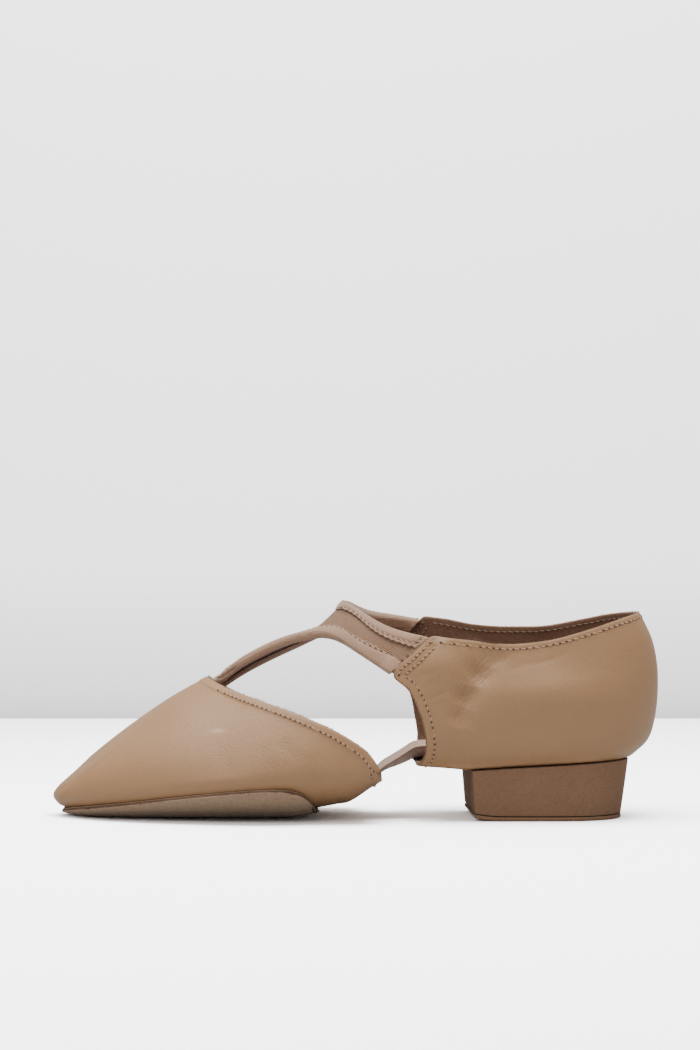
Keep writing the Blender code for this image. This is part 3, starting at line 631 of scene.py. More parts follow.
def bendBy(points, lines, side):
    # Soft troughs: each line runs from (x1, z1) to (x2, z2) in millimetres on one side of the shoe, and has
    # a width and a depth. Fine ones are pressed in less, because the bump carries most of them
    pushed = np.zeros(len(points))
    flat = points[:, (0, 2)] * 1000
    near = points[:, 1] * side > 0
    for x1, z1, x2, z2, width, depth in lines:
        start = np.array((x1, z1))
        way = np.array((x2 - x1, z2 - z1), float)
        share = ((flat - start) @ way) / (way @ way)
        held = np.clip(share, 0, 1)
        apart = np.linalg.norm(flat - start - held[:, None] * way, axis=1)
        fade = np.clip(1.15 - np.abs(2 * share - 1) ** 3, 0, 1)
        soft = creaseStyle["fineShare"] if width < creaseStyle["fineUnder"] else 1.0
        pushed -= np.where(near, np.exp(-(apart / width) ** 2) * depth * soft * fade, 0)
    return pushed


def swellBy(points, swells, side):
    # Soft rounds: a middle (x, z), two radii and a height, all in millimetres
    raised = np.zeros(len(points))
    near = points[:, 1] * side > 0
    for x, z, reachX, reachZ, height in swells:
        apart = ((points[:, 0] * 1000 - x) / reachX) ** 2 + ((points[:, 2] * 1000 - z) / reachZ) ** 2
        raised += np.where(near, np.exp(-apart) * height, 0)
    return raised


def unevenness(points, size, seed):
    # A slow smooth wander made of a few waves, so that no surface is perfectly fair
    turn = random.Random(seed)
    total = np.zeros(len(points))
    for _ in range(7):
        wave = np.array([turn.uniform(-1, 1) for _ in range(3)]) * 2 * math.pi / size
        total += np.sin(points @ wave + turn.uniform(0, 6.28))
    return total / 7


def shapeLeather(piece, style):
    # Presses the creases in and raises the swells. Returns the points as they were, how creased the leather
    # is at each, also used as a mask of painted shade, and how far each is clear of what the piece rests on
    points, _ = readMesh(piece)
    away = wayOut(points, style["spine"])
    farCreases = style.get("farCreases", style["creases"])
    troughs = bendBy(points, style["creases"], -1) + bendBy(points, farCreases, 1)
    rounds = swellBy(points, style["swells"], -1) + swellBy(points, style["swells"], 1)
    clear = np.clip((points[:, 2] - style["clearFrom"]) / style["clearOver"], 0, 1)
    wander = unevenness(points, style["wanderSize"], style["wanderSeed"]) * style["wander"]
    moved = (troughs * style["press"] + rounds) * 0.001 + wander
    writeMesh(piece, points + away * (moved * clear)[:, None])
    # The worked areas join the crease mask, which darkens the colour: painted shade in broad hollows
    worked = swellBy(points, style["worked"], -1) + swellBy(points, style["worked"], 1)
    return points, np.clip(-troughs / style["creasedAt"], 0, 1) + worked, clear


def rubAt(points, x, z, reachX, reachZ):
    # A pale rubbed spot: its middle and two radii in millimetres
    return np.exp(-((points[:, 0] * 1000 - x) / reachX) ** 2 - ((points[:, 2] * 1000 - z) / reachZ) ** 2)


# Vamp: the leather toe part, with a soft break over the ball and a rubbed spot below the throat
vampStyle = {
    "levels": 2,
    "spine": {
        "from": -0.085,
        "to": 0.02,
        "places": (-0.12, -0.085, -0.05, 0.02),
        "heights": (0.010, 0.012, 0.018, 0.020),
    },
    "creases": (
        (-86.5, 33.0, -86.0, 18.0, 1.3, 0.16),
        (-79.0, 30.0, -80.5, 20.0, 1.5, 0.14),
        (-54.0, 33.0, -45.0, 18.0, 3.0, 0.25),
        (-36.0, 31.0, -30.0, 19.0, 3.5, 0.30),
        (-19.0, 28.0, -14.0, 16.0, 3.0, 0.28),
        (-5.0, 25.0, -2.0, 15.0, 2.0, 0.20),
        (-28.0, 33.0, -22.0, 24.0, 2.4, 0.45),
        (-49.0, 33.0, -43.0, 28.5, 0.9, 0.22),
        (-46.0, 29.0, -39.0, 24.0, 0.9, 0.24),
        (-42.0, 33.5, -35.0, 28.0, 0.9, 0.20),
        (-38.0, 26.0, -31.0, 21.5, 0.9, 0.22),
        (-33.0, 31.5, -28.5, 27.0, 0.9, 0.18),
    ),
    "worked": ((-40.0, 27.0, 17.0, 10.0, 0.16),),
    "swells": ((-70.0, 24.0, 16.0, 10.0, 0.6), (-25.0, 24.0, 12.0, 8.0, 0.5)),
    "wander": 0.00018,
    "wanderSize": 0.034,
    "wanderSeed": 3,
    "press": 1.0,
    "creasedAt": 0.6,
    "clearFrom": 0.008,
    "clearOver": 0.008,
    "rub": (-53.9, 35.5, 2.4, 0.6),
    "rubbed": 0.5,
    "rubEnd": 0.004,
    "nose": ((-0.1204, 0.0, 0.0075), 0.020, 90, 1.0),
}
vamp = takeCopy("vamp", "vamp_leather", "leather", tanLeather, fleshSide, rawEdge)
vampLoops = sortFaces(vamp, vampStyle["spine"])
refine(vamp, vampStyle["levels"], hold=1)
soften(vamp, *vampStyle["nose"])
points, creaseShadeMask, _ = shapeLeather(vamp, vampStyle)
writeAttribute(vamp, "creaseShade", creaseShadeMask)
rubbed = rubAt(points, *vampStyle["rub"]) * (points[:, 1] < vampStyle["rubEnd"])
writeAttribute(vamp, "rub", rubbed * vampStyle["rubbed"])
vampSurface = surfaceOf(vamp)
print("vamp ready")

# Quarter: the heel cup, creased where it turns into the strap seam and under the rim
quarterStyle = {
    "levels": 3,
    "spine": {"from": 0.0, "to": 0.080, "places": (0.0, 0.12), "heights": (0.045, 0.045)},
    "creases": (
        (57.0, 68.0, 45.0, 56.0, 5.2, 0.45),
        (50.0, 61.4, 41.2, 46.0, 5.0, 0.42),
        (43.7, 53.1, 40.4, 37.4, 4.4, 0.48),
        (40.4, 39.4, 43.0, 34.0, 1.6, 0.30),
        (25.0, 56.7, 33.0, 59.1, 0.9, 0.16),
        (27.0, 52.1, 30.3, 54.7, 0.8, 0.16),
        (28.0, 47.7, 36.4, 51.4, 1.0, 0.24),
        (29.7, 45.4, 35.7, 47.4, 0.9, 0.20),
        (31.7, 42.0, 36.4, 46.1, 1.0, 0.20),
        (34.5, 39.5, 38.5, 45.0, 0.9, 0.14),
        (39.0, 39.4, 43.0, 45.4, 0.9, 0.24),
        (43.0, 45.4, 47.0, 52.1, 0.9, 0.22),
        (42.4, 36.7, 43.7, 34.0, 0.7, 0.16),
        (49.7, 54.7, 55.1, 59.4, 1.0, 0.22),
        (51.1, 58.8, 56.4, 65.4, 1.0, 0.24),
        (53.7, 61.4, 63.1, 66.8, 1.0, 0.20),
        (60.4, 58.8, 68.4, 62.4, 1.1, 0.20),
        (67.1, 60.8, 77.8, 63.4, 1.1, 0.20),
        (73.8, 62.4, 83.1, 66.4, 1.2, 0.18),
        (96.5, 60.1, 102.5, 56.7, 1.2, 0.12),
    ),
    "farCreases": (
        (52.0, 68.0, 44.0, 58.0, 4.0, 0.5),
        (44.0, 58.0, 40.0, 46.0, 3.6, 0.6),
        (40.0, 46.0, 41.5, 36.0, 2.6, 0.4),
        (28.0, 50.5, 36.0, 53.5, 1.0, 0.2),
        (30.5, 45.0, 36.5, 48.5, 1.0, 0.2),
        (46.5, 55.0, 53.5, 62.5, 1.1, 0.22),
        (56.0, 61.0, 66.5, 66.0, 1.2, 0.2),
        (70.0, 61.5, 81.0, 65.5, 1.2, 0.18),
    ),
    "swells": ((72.0, 50.0, 24.0, 9.5, 2.7), (33.0, 61.0, 9.0, 7.0, 1.9)),
    "worked": ((37.0, 50.0, 12.0, 13.0, 0.16), (60.0, 63.0, 20.0, 5.0, 0.18)),
    "wander": 0.00022,
    "wanderSize": 0.030,
    "wanderSeed": 5,
    "press": 3.1,
    "creasedAt": 0.75,
    "clearFrom": 0.027,
    "clearOver": 0.010,
    "rub": (33.4, 70.6, 2.4, 1.2),
    "rubbed": 0.5,
}
quarter = takeCopy("quarter", "quarter_leather", "leather", cupLeather, fleshSide, rawEdge)
quarterLoops = sortFaces(quarter, quarterStyle["spine"])
refine(quarter, quarterStyle["levels"], hold=2)
points, creaseShadeMask, clear = shapeLeather(quarter, quarterStyle)
writeAttribute(quarter, "creaseShade", creaseShadeMask * clear)
writeAttribute(quarter, "rub", rubAt(points, *quarterStyle["rub"]) * quarterStyle["rubbed"])
quarterSurface = surfaceOf(quarter)
print("quarter ready")

# Suede patch under the ball, its cut edge darker than its face. Each end is rounded: a place, a reach, how
# many rounds, and the share of its length that it gets back
patchStyle = {
    "levels": 2,
    "spine": {"from": -0.2, "to": 0.2, "places": (-0.12, 0.0), "heights": (0.030, 0.030)},
    "edge": 0.00045,
    "front": ((-0.117, 0.0, 0.002), 0.010, 40, 0.8),
    "back": ((-0.015, 0.0, 0.002), 0.012, 12, 0.0),
}
patch = takeCopy("fore_sole", "sole_patch", "suede_patch", patchSuede, fleshSide, darkEdgeAndGapShade)
patchLoops = sortFaces(patch, patchStyle["spine"])
refine(patch, patchStyle["levels"], patchStyle["edge"], edgeMaterial=0)
soften(patch, *patchStyle["front"])
soften(patch, *patchStyle["back"])

# Heel block, its tread, and both insoles
soleStyle = {"levels": 2, "heelEdge": 0.0012, "thinEdge": 0.0003}
heel = takeCopy("heel", "heel_block", "suede_heel", heelSuede)
refine(heel, soleStyle["levels"], soleStyle["heelEdge"])
tread = takeCopy("heel_tread", "heel_tread_suede", "suede_heel", heelSuede)
refine(tread, soleStyle["levels"], soleStyle["thinEdge"])
foreInsole = takeCopy("fore_insole", "fore_insole_suede", "insole", insoleSuede)
refine(foreInsole, soleStyle["levels"], soleStyle["thinEdge"])
heelInsole = takeCopy("heel_insole", "heel_insole_suede", "insole", insoleSuede)
refine(heelInsole, soleStyle["levels"], soleStyle["thinEdge"])
print("soles ready")


# Bindings: soft folded tapes, pulled down along their stitches and wavy along their cut edge
bindingStyle = {
    "levels": 3,
    "stitch": 0.0027,
    "rowInset": 0.0014,
    "wave": 0.00032,
    "pull": 0.00045,
    "puff": 0.00025,
    "pullWidth": 0.0006,
    "shadeLineWidth": 0.0005,
    "endFade": 0.002,
    "startGap": 0.0012,
    "endGap": 0.0010,
    "step": 0.0010,
    "sewnLift": 0.0012,
    "seenFrom": 0.005,
}


def sectionsOf(piece, reference, keep):
    # The tape's middle, the way across it towards its cut edge, the way out and its half width, along X
    points, _ = readMesh(piece)
    pairs = np.empty(len(piece.data.edges) * 2, np.int32)
    piece.data.edges.foreach_get("vertices", pairs)
    first, second = points[pairs.reshape(-1, 2)[:, 0]], points[pairs.reshape(-1, 2)[:, 1]]
    kept = points[keep(points)]
    start = kept[:, 0].min() + bindingStyle["startGap"]
    places = np.arange(start, kept[:, 0].max() - bindingStyle["endGap"], bindingStyle["step"])
    found = []
    for place in places:
        crossing = (first[:, 0] - place) * (second[:, 0] - place) < 0
        a, b = first[crossing], second[crossing]
        cut = a + (b - a) * ((place - a[:, 0]) / (b[:, 0] - a[:, 0]))[:, None]
        cut = cut[keep(cut)]
        if len(cut) < 6:
            continue
        middle = (cut.min(axis=0) + cut.max(axis=0)) / 2
        spread = cut[:, 1:] - cut[:, 1:].mean(axis=0)
        across = np.linalg.svd(spread, full_matrices=False)[2][0]
        across = across * np.sign(across @ np.array(reference))
        reach = (cut[:, 1:] - middle[1:]) @ across
        middle[1:] += across * (reach.max() + reach.min()) / 2
        found.append((*middle, 0.0, *across, (reach.max() - reach.min()) / 2))
    found = np.array(found)
    for _ in range(3):
        found[1:-1] = found[1:-1] / 2 + (found[:-2] + found[2:]) / 4
    found[:, 3:6] /= np.linalg.norm(found[:, 3:6], axis=1, keepdims=True)
    return found


def frameAt(sections, points, outside):
    # Each point's own section: where it lies along, across and out
    x = points[:, 0]
    columns = [np.interp(x, sections[:, 0], sections[:, number]) for number in range(7)]
    steps = np.linalg.norm(np.diff(sections[:, :3], axis=0), axis=1)
    along = np.interp(x, sections[:, 0], np.concatenate(([0], np.cumsum(steps))))
    middle = np.stack(columns[:3], axis=1)
    across = np.stack(columns[3:6], axis=1)
    out = np.stack((np.zeros(len(x)), -across[:, 2], across[:, 1]), axis=1)
    out *= np.sign(out[:, 1:] @ np.array(outside))[:, None]
    place = ((points - middle) * across).sum(axis=1)
    rise = ((points - middle) * out).sum(axis=1)
    return along, place, rise, across, out, columns[6]


def shapeBinding(piece, arms):
    # arms: the way to the cut edge, the way outside, and which points, for each stretch of the tape
    points, _ = readMesh(piece)
    alongAll, acrossAll, stitchLineShade = np.zeros(len(points)), np.zeros(len(points)), np.zeros(len(points))
    moved = points.copy()
    rows = []
    style = bindingStyle
    for reference, outside, keep in arms:
        sections = sectionsOf(piece, reference, keep)
        mine = keep(points)
        along, place, rise, across, out, half = frameAt(sections, points, outside)
        turn = 2 * math.pi * along / style["stitch"]
        row = half - style["rowInset"]
        loose = np.clip((place - row) / (half - row), 0, 1)
        puff = np.clip(1 - ((place + half * 0.2) / (half * 0.8)) ** 2, 0, 1) * style["puff"]
        uneven = 0.75 + 0.25 * np.cos(turn)
        pull = np.exp(-((place - row) / style["pullWidth"]) ** 2) * style["pull"] * uneven
        side = np.sign(rise)
        shift = across * (loose * style["wave"] * np.sin(turn))[:, None]
        shift += out * ((puff - pull) * side + loose * 0.4 * style["wave"] * np.cos(turn))[:, None]
        ends = np.minimum(points[:, 0] - sections[0, 0], sections[-1, 0] - points[:, 0])
        shift *= np.clip(ends / style["endFade"], 0, 1)[:, None]
        moved[mine] += shift[mine]
        alongAll[mine], acrossAll[mine] = along[mine], place[mine]
        # Painted shade along the pulled-down stitch line, carried to the colour by the crease mask
        stitchLineShade[mine] = np.exp(-((place - row) / style["shadeLineWidth"]) ** 2)[mine]
        path = []
        for section in sections:
            outward = np.array((0, -section[5], section[4]))
            outward *= np.sign(outward[1:] @ np.array(outside))
            inset = section[6] - style["rowInset"]
            spot = section[:3] + np.array(section[3:6]) * inset + outward * style["sewnLift"]
            path.append((Vector(spot), Vector(outward)))
        rows.append(path)
    writeMesh(piece, moved)
    writeAttribute(piece, "along", alongAll)
    writeAttribute(piece, "across", acrossAll)
    writeAttribute(piece, "creaseShade", stitchLineShade)
    return rows


bindingRows = []
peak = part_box("binding_top")[0].x
for node, arms in (
    ("binding_outer", (((0.6, 0.8), (-0.5, 1), lambda spots: spots[:, 1] < 1),)),
    ("binding_inner", (((-0.6, 0.8), (0.5, 1), lambda spots: spots[:, 1] < 1),)),
    (
        "binding_top",
        (
            ((-0.6, -0.8), (-0.5, 1), lambda spots: spots[:, 1] < 0),
            ((0.6, -0.8), (0.5, 1), lambda spots: spots[:, 1] >= 0),
        ),
    ),
):
    binding = takeCopy(node, node + "_tape", "binding", bindingTape)
    refine(binding, bindingStyle["levels"])
    sewn = shapeBinding(binding, arms)
    surface = surfaceOf(binding)
    for row in sewn:
        seen = [(surface.ray_cast(spot + out * bindingStyle["seenFrom"], -out)[0], out) for spot, out in row]
        bindingRows.append(([(spot, out) for spot, out in seen if spot], surface))
print("bindings ready")

# Strap elastic: ribs run beside its bindings, and its ends are sewn into the quarter's wall
strapStyle = {"levels": 3, "seam": 0.018, "reach": 0.0022, "tuck": 0.0007, "slant": 1.25}
strap = takeCopy("strap_elastic", "strap_elastic_web", "elastic", strapElastic)
refine(strap, strapStyle["levels"])
points, _ = readMesh(strap)
for number, spot in enumerate(points):
    if spot[0] > strapStyle["seam"]:
        onWall, facing, _, apart = quarterSurface.find_nearest(Vector(spot))
        if apart < strapStyle["reach"] and facing.y * spot[1] < 0:
            points[number] = onWall - facing * strapStyle["tuck"]
writeMesh(strap, points)
outerTape = surfaceOf(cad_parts["binding_outer"])
innerTape = surfaceOf(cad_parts["binding_inner"])
inner = (points[:, 0] > peak) & (points[:, 1] > 0)
gaps = [(innerTape if far else outerTape).find_nearest(Vector(spot))[3] for spot, far in zip(points, inner)]
writeAttribute(strap, "across", gaps)
writeAttribute(strap, "along", points[:, 0] * strapStyle["slant"])
print("strap ready")

# Arch elastic: a soft pink web between the halves, with painted shade under each turned-up edge, where its
# faces turn downwards
archStyle = {"levels": 3, "shadeTilt": -0.45, "shadeSoft": 0.3, "middle": 0.002, "flat": 0.010}
arch = takeCopy("arch_elastic", "arch_elastic_web", "arch", archElastic)
refine(arch, archStyle["levels"])
points, normals = readMesh(arch)
writeAttribute(arch, "across", points[:, 1])
writeAttribute(arch, "along", points[:, 0])
# Painted shade: faces that turn downwards under the raised edges are darkened
downFacingShade = np.exp(-((normals[:, 2] - archStyle["shadeTilt"]) / archStyle["shadeSoft"]) ** 2)
writeAttribute(arch, "creaseShade", downFacingShade * (np.abs(points[:, 1] - archStyle["middle"]) > archStyle["flat"]))
print("arch ready")


# Sewing: one stitch is modelled, then laid along each row, with a dark bead for a needle hole at each end of
# it, its darkness painted shade of the hole
stitchStyle = {
    "thickness": 0.00025,
    "share": 0.36,
    "sink": 0.00010,
    "lean": 0.26,
    "hole": 0.00045,
    "holeLift": 0.00002,
    "holeLength": 1.3,
    "holeDepth": 0.35,
    "wall": 0.0016,
    "hemInset": 0.0029,
    "hemPitch": 0.0022,
    "hemStart": 0.006,
    "tapePitch": 0.0026,
}
grooveStyle = {"width": 0.0007, "depth": 0.00030, "puckerShade": 0.35, "reach": 3, "facing": 0.3}


def modelBead(segments, rings):
    bpy.ops.object.select_all(action="DESELECT")
    bpy.ops.mesh.primitive_uv_sphere_add(segments=segments, ring_count=rings, radius=1.0)
    bead = bpy.context.active_object
    points = [tuple(vertex.co) for vertex in bead.data.vertices]
    faces = [tuple(face.vertices) for face in bead.data.polygons]
    bpy.data.objects.remove(bead)
    return np.array(points), faces


beadPoints, beadFaces = modelBead(6, 6)


def layBeads(name, places, material):
    # places: (middle, along, across, out) with each way already scaled
    points = []
    faces = []
    for middle, along, across, out in places:
        base = len(points) * len(beadPoints)
        ways = np.array((tuple(across), tuple(out), tuple(along)))
        points.append(beadPoints @ ways + np.array(tuple(middle)))
        faces += [tuple(corner + base for corner in face) for face in beadFaces]
    mesh = bpy.data.meshes.new(name)
    mesh.from_pydata(np.concatenate(points).tolist(), [], faces)
    mesh.materials.append(material)
    piece = bpy.data.objects.new(name, mesh)
    bpy.context.scene.collection.objects.link(piece)
    pick(piece)
    bpy.ops.object.mode_set(mode="EDIT")
    bpy.ops.mesh.select_all(action="SELECT")
    bpy.ops.mesh.normals_make_consistent(inside=False)
    bpy.ops.object.mode_set(mode="OBJECT")
    bpy.ops.object.shade_smooth()
    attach(piece, "root")
    return piece


def sew(name, rows, thread=sewingThread):
    # rows: (row, pitch, surface)
    stitches = []
    holes = []
    style = stitchStyle
    for row, pitch, surface in rows:
        for spot, along, out in evenly(row, pitch, surface):
            across = along.cross(out).normalized()
            slanted = (along + across * style["lean"]).normalized()
            beside = slanted.cross(out).normalized()
            size = style["thickness"]
            stitches.append((
                spot + out * (size - style["sink"]),
                slanted * pitch * style["share"],
                beside * size,
                out * size,
            ))
            # A flat dark bead stands for each needle hole: painted shade of the hole
            hole = style["hole"]
            holes.append((
                spot + along * pitch / 2 + out * style["holeLift"],
                along * hole * style["holeLength"],
                across * hole,
                out * hole * style["holeDepth"],
            ))
    layBeads(name, stitches, thread)
    layBeads(name + "_hole_shades", holes, needleHoleShade)


def throughWall(row, surface):
    # The same row as it comes through on the wall's other side
    made = []
    for spot, facing in row:
        other, _, _, _ = surface.find_nearest(spot - facing * stitchStyle["wall"])
        made.append((other, -facing))
    return made


def pressRows(piece, rows, style):
    # Each row of stitches sits in a shallow puckered groove, on the side that it is seen on, and the groove
    # is darkened through the crease mask: painted shade
    points, normals = readMesh(piece)
    spots = [(spot, out) for row in rows for spot, out in row]
    tree = KDTree(len(spots))
    for number, (spot, _) in enumerate(spots):
        tree.insert(spot, number)
    tree.balance()
    creases = np.empty(len(points), np.float32)
    piece.data.attributes["creaseShade"].data.foreach_get("value", creases)
    for number, point in enumerate(points):
        _, nearest, apart = tree.find(Vector(point))
        spot, out = spots[nearest]
        near = apart < style["width"] * style["reach"]
        if near and out.dot(Vector(normals[number])) > style["facing"]:
            away = Vector(point) - spot
            beside = math.sqrt(max(0, away.length_squared - away.dot(out) ** 2))
            share = math.exp(-(beside / style["width"]) ** 2)
            points[number] -= np.array(out) * share * style["depth"]
            # Painted shade: the groove is darkened through the crease mask
            creases[number] += share * style["puckerShade"]
    writeMesh(piece, points)
    writeAttribute(piece, "creaseShade", creases)
    return surfaceOf(piece)


def anywhere(point):
    return True


throat = vampLoops[0]
throatFront = min(place[0].x for place in throat)


def behindApex(point):
    return point.x > throatFront + stitchStyle["hemStart"]


hemRows = rowBeside(throat, stitchStyle["hemInset"], vampSurface, behindApex)
vampSurface = pressRows(vamp, hemRows, grooveStyle)
sew("vamp_stitches", [(row, stitchStyle["hemPitch"], vampSurface) for row in hemRows])

# The quarter has one row under its collar, one down each front edge and two beside each strap seam
rowStyle = {"frontEnd": 0.036, "slack": 0.0004, "frontSlack": 0.0006, "collarAbove": 0.05}
collar = quarterLoops[0]
nearSide = [place[0] for place in collar if place[0].y < 0]
farSide = [place[0] for place in collar if place[0].y > 0]
nearTop = max((spot for spot in nearSide if spot.x < rowStyle["frontEnd"]), key=lambda spot: spot.z)
farTop = max((spot for spot in farSide if spot.x < rowStyle["frontEnd"]), key=lambda spot: spot.z)
nearLow = min(nearSide, key=lambda spot: spot.x)
farLow = min(farSide, key=lambda spot: spot.x)


def onCollar(point):
    top = nearTop if point.y < 0 else farTop
    return point.x > top.x + rowStyle["slack"] and point.z > rowStyle["collarAbove"]


def onSeam(point):
    top, low = (nearTop, nearLow) if point.y < 0 else (farTop, farLow)
    return point.x <= top.x + rowStyle["slack"] and point.z >= low.z - rowStyle["slack"]


def onFront(point):
    low = nearLow if point.y < 0 else farLow
    return point.x < rowStyle["frontEnd"] and point.z < low.z + rowStyle["frontSlack"]


# Each row's distance from the edge, its pitch, and where it runs
quarterRows = [
    (row, pitch)
    for inset, pitch, chosen in (
        (0.0019, 0.0026, onCollar),
        (0.0014, 0.0020, onSeam),
        (0.0040, 0.0020, onSeam),
        (0.0030, 0.0022, onFront),
    )
    for row in rowBeside(collar, inset, quarterSurface, chosen)
]
quarterSurface = pressRows(quarter, [row for row, _ in quarterRows], grooveStyle)
sew("quarter_stitches", [(row, pitch, quarterSurface) for row, pitch in quarterRows])
inside = [(throughWall(row, quarterSurface), pitch, quarterSurface) for row, pitch in quarterRows]
# The rows inside use a darker copy of the thread: painted shade of the shoe's inside
sew("lining_stitches", inside, shadedLiningThread)
sew("binding_stitches", [(row, stitchStyle["tapePitch"], surface) for row, surface in bindingRows])
print("sewing ready")


# Loose fibres stand up along the cut edges: how many to an edge, and how long the longest is
fibreStyle = {
    "thin": 0.00007,
    "vamp": (900, 0.0008),
    "quarter": (1300, 0.0008),
    "corner": (260, 0.0022),
    "patch": (900, 0.0006),
    "heel": (500, 0.0007),
    "seamPlaces": 60,
    "seamStep": 0.0003,
    "seamEnds": (0.003, 0.006),
    "seenFrom": 0.2,
    "widestGap": 0.02,
    "depth": 0.0010,
    "patchFrom": -0.112,
    "patchTo": -0.022,
    "cornerFrom": 0.0055,
    "cornerUnder": 0.017,
}


def fray(name, rows, count, reach, slot, material):
    turn = random.Random(len(name))
    hairs = []
    for loop, chosen in rows:
        kept = [place for place in loop if chosen(place[0])]
        for _ in range(count):
            number = turn.randrange(len(kept) - 1)
            point, normal, inward = kept[number]
            following = kept[number + 1][0]
            if (following - point).length > fibreStyle["widestGap"]:
                continue
            base = point.lerp(following, turn.random()) - normal * turn.random() * fibreStyle["depth"]
            way = (normal * turn.uniform(-0.3, 0.6) - inward * turn.uniform(0.4, 1.0)).normalized()
            side = way.cross(normal).normalized()
            length = reach * turn.uniform(0.4, 1.0)
            thin = fibreStyle["thin"]
            lean = (way + side * turn.uniform(-0.7, 0.7)).normalized()
            hairs.append((base + lean * length * 0.4, lean * length * 0.6, side * thin, normal * thin))
    layBeads(name, hairs, material)


def onPatchSides(point):
    return fibreStyle["patchFrom"] < point.x < fibreStyle["patchTo"]


def onLowCorner(point):
    return point.x > fibreStyle["cornerFrom"] and point.z < fibreStyle["cornerUnder"]


def heelSeam(side):
    # Places along the heel's upper edge on one side, found by looking at it from that side
    heelSurface = surfaceOf(heel)
    low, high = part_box("heel")
    outwards = Vector((0, side, 0))
    row = []
    front, back = fibreStyle["seamEnds"]
    for place in np.linspace(low.x + front, high.x - back, fibreStyle["seamPlaces"]):
        level = high.z
        hit = None
        while hit is None and level > low.z:
            level -= fibreStyle["seamStep"]
            hit = heelSurface.ray_cast(Vector((place, side * fibreStyle["seenFrom"], level)), -outwards)[0]
        if hit is not None:
            row.append((hit, outwards, Vector((0, 0, -1))))
    return row


fray("vamp_fibres", [(throat, anywhere)], *fibreStyle["vamp"], "leather", rawEdge)
fray("quarter_fibres", [(collar, anywhere)], *fibreStyle["quarter"], "leather", rawEdge)
fray("corner_fibres", [(throat, onLowCorner)], *fibreStyle["corner"], "leather", rawEdge)
fray("patch_fibres", [(patchLoops[0], onPatchSides)], *fibreStyle["patch"], "suede_patch", darkEdgeAndGapShade)
# Dark fibres along the heel's upper edge: some fuzz, but their dark colour is painted shadow of the gap
# between heel and quarter
heelGapShadowEdges = [(heelSeam(-1), anywhere), (heelSeam(1), anywhere)]
fray("seam_fibres", heelGapShadowEdges, *fibreStyle["heel"], "suede_heel", darkEdgeAndGapShade)
print("fibres ready")

# Floor and backdrop, with soft light from above and from the camera's side, and painted shade towards where
# they meet
stageStyle = {
    "floorEdge": 0.585,
    "floor": -0.00015,
    "floorColour": (2.75, 2.75, 2.76),
    "wallColour": (2.05, 1.98, 2.01),
    "bounce": (0.50, 0.50, 0.50),
    "width": 4.0,
    "wallHeight": 2.4,
    "front": -2.0,
    "wallGap": 0.01,
    "wallFoot": -0.3,
    "floorPaintedShade": (0.15, 0.585, 0.20),
    "wallPaintedShade": (0.090, 0.0, 0.33),
    "worldColour": (0.93, 0.95, 1.0),
    "worldStrength": 0.41,
}


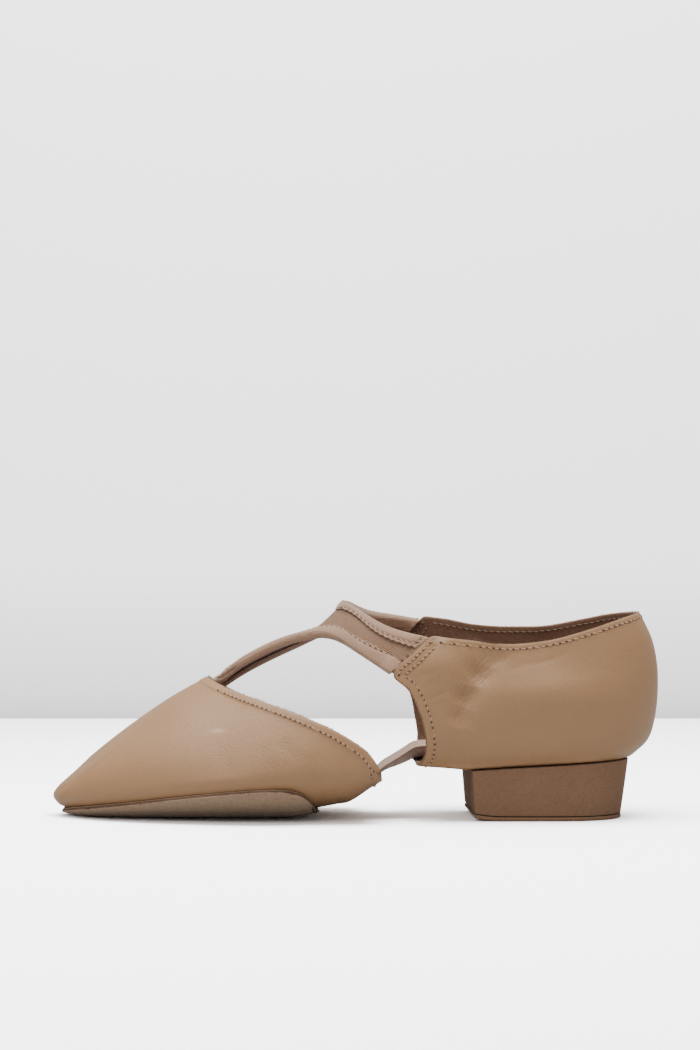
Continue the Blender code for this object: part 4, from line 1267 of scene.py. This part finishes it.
def makePlain(name, colour, axis, start, end, amount):
    # Paper that is bright to the camera and gives the shoe only a little light back. Its colour is darkened
    # by the amount between start and end, measured along the axis: painted shade towards where floor and wall
    # meet
    material = bpy.data.materials.new(name)
    material.use_nodes = True
    tree = material.node_tree
    tree.nodes.remove(tree.nodes["Principled BSDF"])
    matte = addNode(tree, "BsdfDiffuse")
    seen = addNode(tree, "LightPath")
    place = addNode(tree, "TexCoord")
    parts = addNode(tree, "SeparateXYZ")
    join(tree, place, "Object", parts, "Vector")
    span = mathNode(tree, "SUBTRACT", parts.outputs[axis], start)
    mask = mathNode(tree, "DIVIDE", span, end - start, clamp=True)
    # Painted shade: the paper darkens towards where floor and wall meet
    paintedShadePaper = addTint(tree, colour, tuple(level * (1 - amount) for level in colour), mask, 1.0)
    shade = useGroup(tree, tint, Base=(*stageStyle["bounce"], 1), Amount=1.0)
    tree.links.new(paintedShadePaper, shade.inputs["Tint"])
    join(tree, seen, "Is Camera Ray", shade, "Mask")
    join(tree, shade, "Color", matte, "Color")
    # Seen from behind it isn't there, so that the shoe can be looked at from every side
    side = tree.nodes.new("ShaderNodeNewGeometry")
    mixed = addNode(tree, "MixShader")
    clear = addNode(tree, "BsdfTransparent")
    join(tree, side, "Backfacing", mixed, 0)
    join(tree, matte, "BSDF", mixed, 1)
    join(tree, clear, "BSDF", mixed, 2)
    join(tree, mixed, "Shader", tree.nodes["Material Output"], "Surface")
    return material


def addPlane(name, corners, material):
    mesh = bpy.data.meshes.new(name)
    mesh.from_pydata(corners, [], [(0, 1, 2, 3)])
    mesh.materials.append(material)
    plane = bpy.data.objects.new(name, mesh)
    bpy.context.scene.collection.objects.link(plane)
    return plane


halfWidth = stageStyle["width"] / 2
front, low = stageStyle["front"], stageStyle["floor"]
edge = stageStyle["floorEdge"]
addPlane(
    "floor",
    [(-halfWidth, front, low), (halfWidth, front, low), (halfWidth, edge, low), (-halfWidth, edge, low)],
    makePlain("floorPaper", stageStyle["floorColour"], "Y", *stageStyle["floorPaintedShade"]),
)
high, foot = stageStyle["wallHeight"], stageStyle["wallFoot"]
wall = edge + stageStyle["wallGap"]
addPlane(
    "backdrop",
    [(-halfWidth, wall, foot), (halfWidth, wall, foot), (halfWidth, wall, high), (-halfWidth, wall, high)],
    makePlain("wallPaper", stageStyle["wallColour"], "Z", *stageStyle["wallPaintedShade"]),
)


def addLight(name, place, aim, size, power):
    lamp = bpy.data.lights.new(name, "AREA")
    lamp.shape = "RECTANGLE"
    lamp.size, lamp.size_y = size
    lamp.energy = power
    made = bpy.data.objects.new(name, lamp)
    made.location = place
    made.rotation_euler = (Vector(aim) - Vector(place)).to_track_quat("-Z", "Y").to_euler()
    bpy.context.scene.collection.objects.link(made)
    return made


# Each light's place, what it aims at, its size and its power
lights = {
    "overhead": ((0.0, -0.05, 1.10), (0.0, 0.0, 0.0), (1.2, 0.9), 22.0),
    "front": ((-0.65, -1.10, 0.80), (0.0, 0.0, 0.04), (0.8, 0.7), 4.6),
    "backdropWash": ((0.0, -0.20, 1.35), (0.0, 0.60, 0.45), (1.6, 0.5), 5.0),
}
for name, settings in lights.items():
    addLight(name, *settings)
world = bpy.data.worlds.new("studio")
bpy.context.scene.world = world
world.use_nodes = True
background = world.node_tree.nodes["Background"]
background.inputs["Color"].default_value = (*stageStyle["worldColour"], 1)
background.inputs["Strength"].default_value = stageStyle["worldStrength"]

print("stage ready")
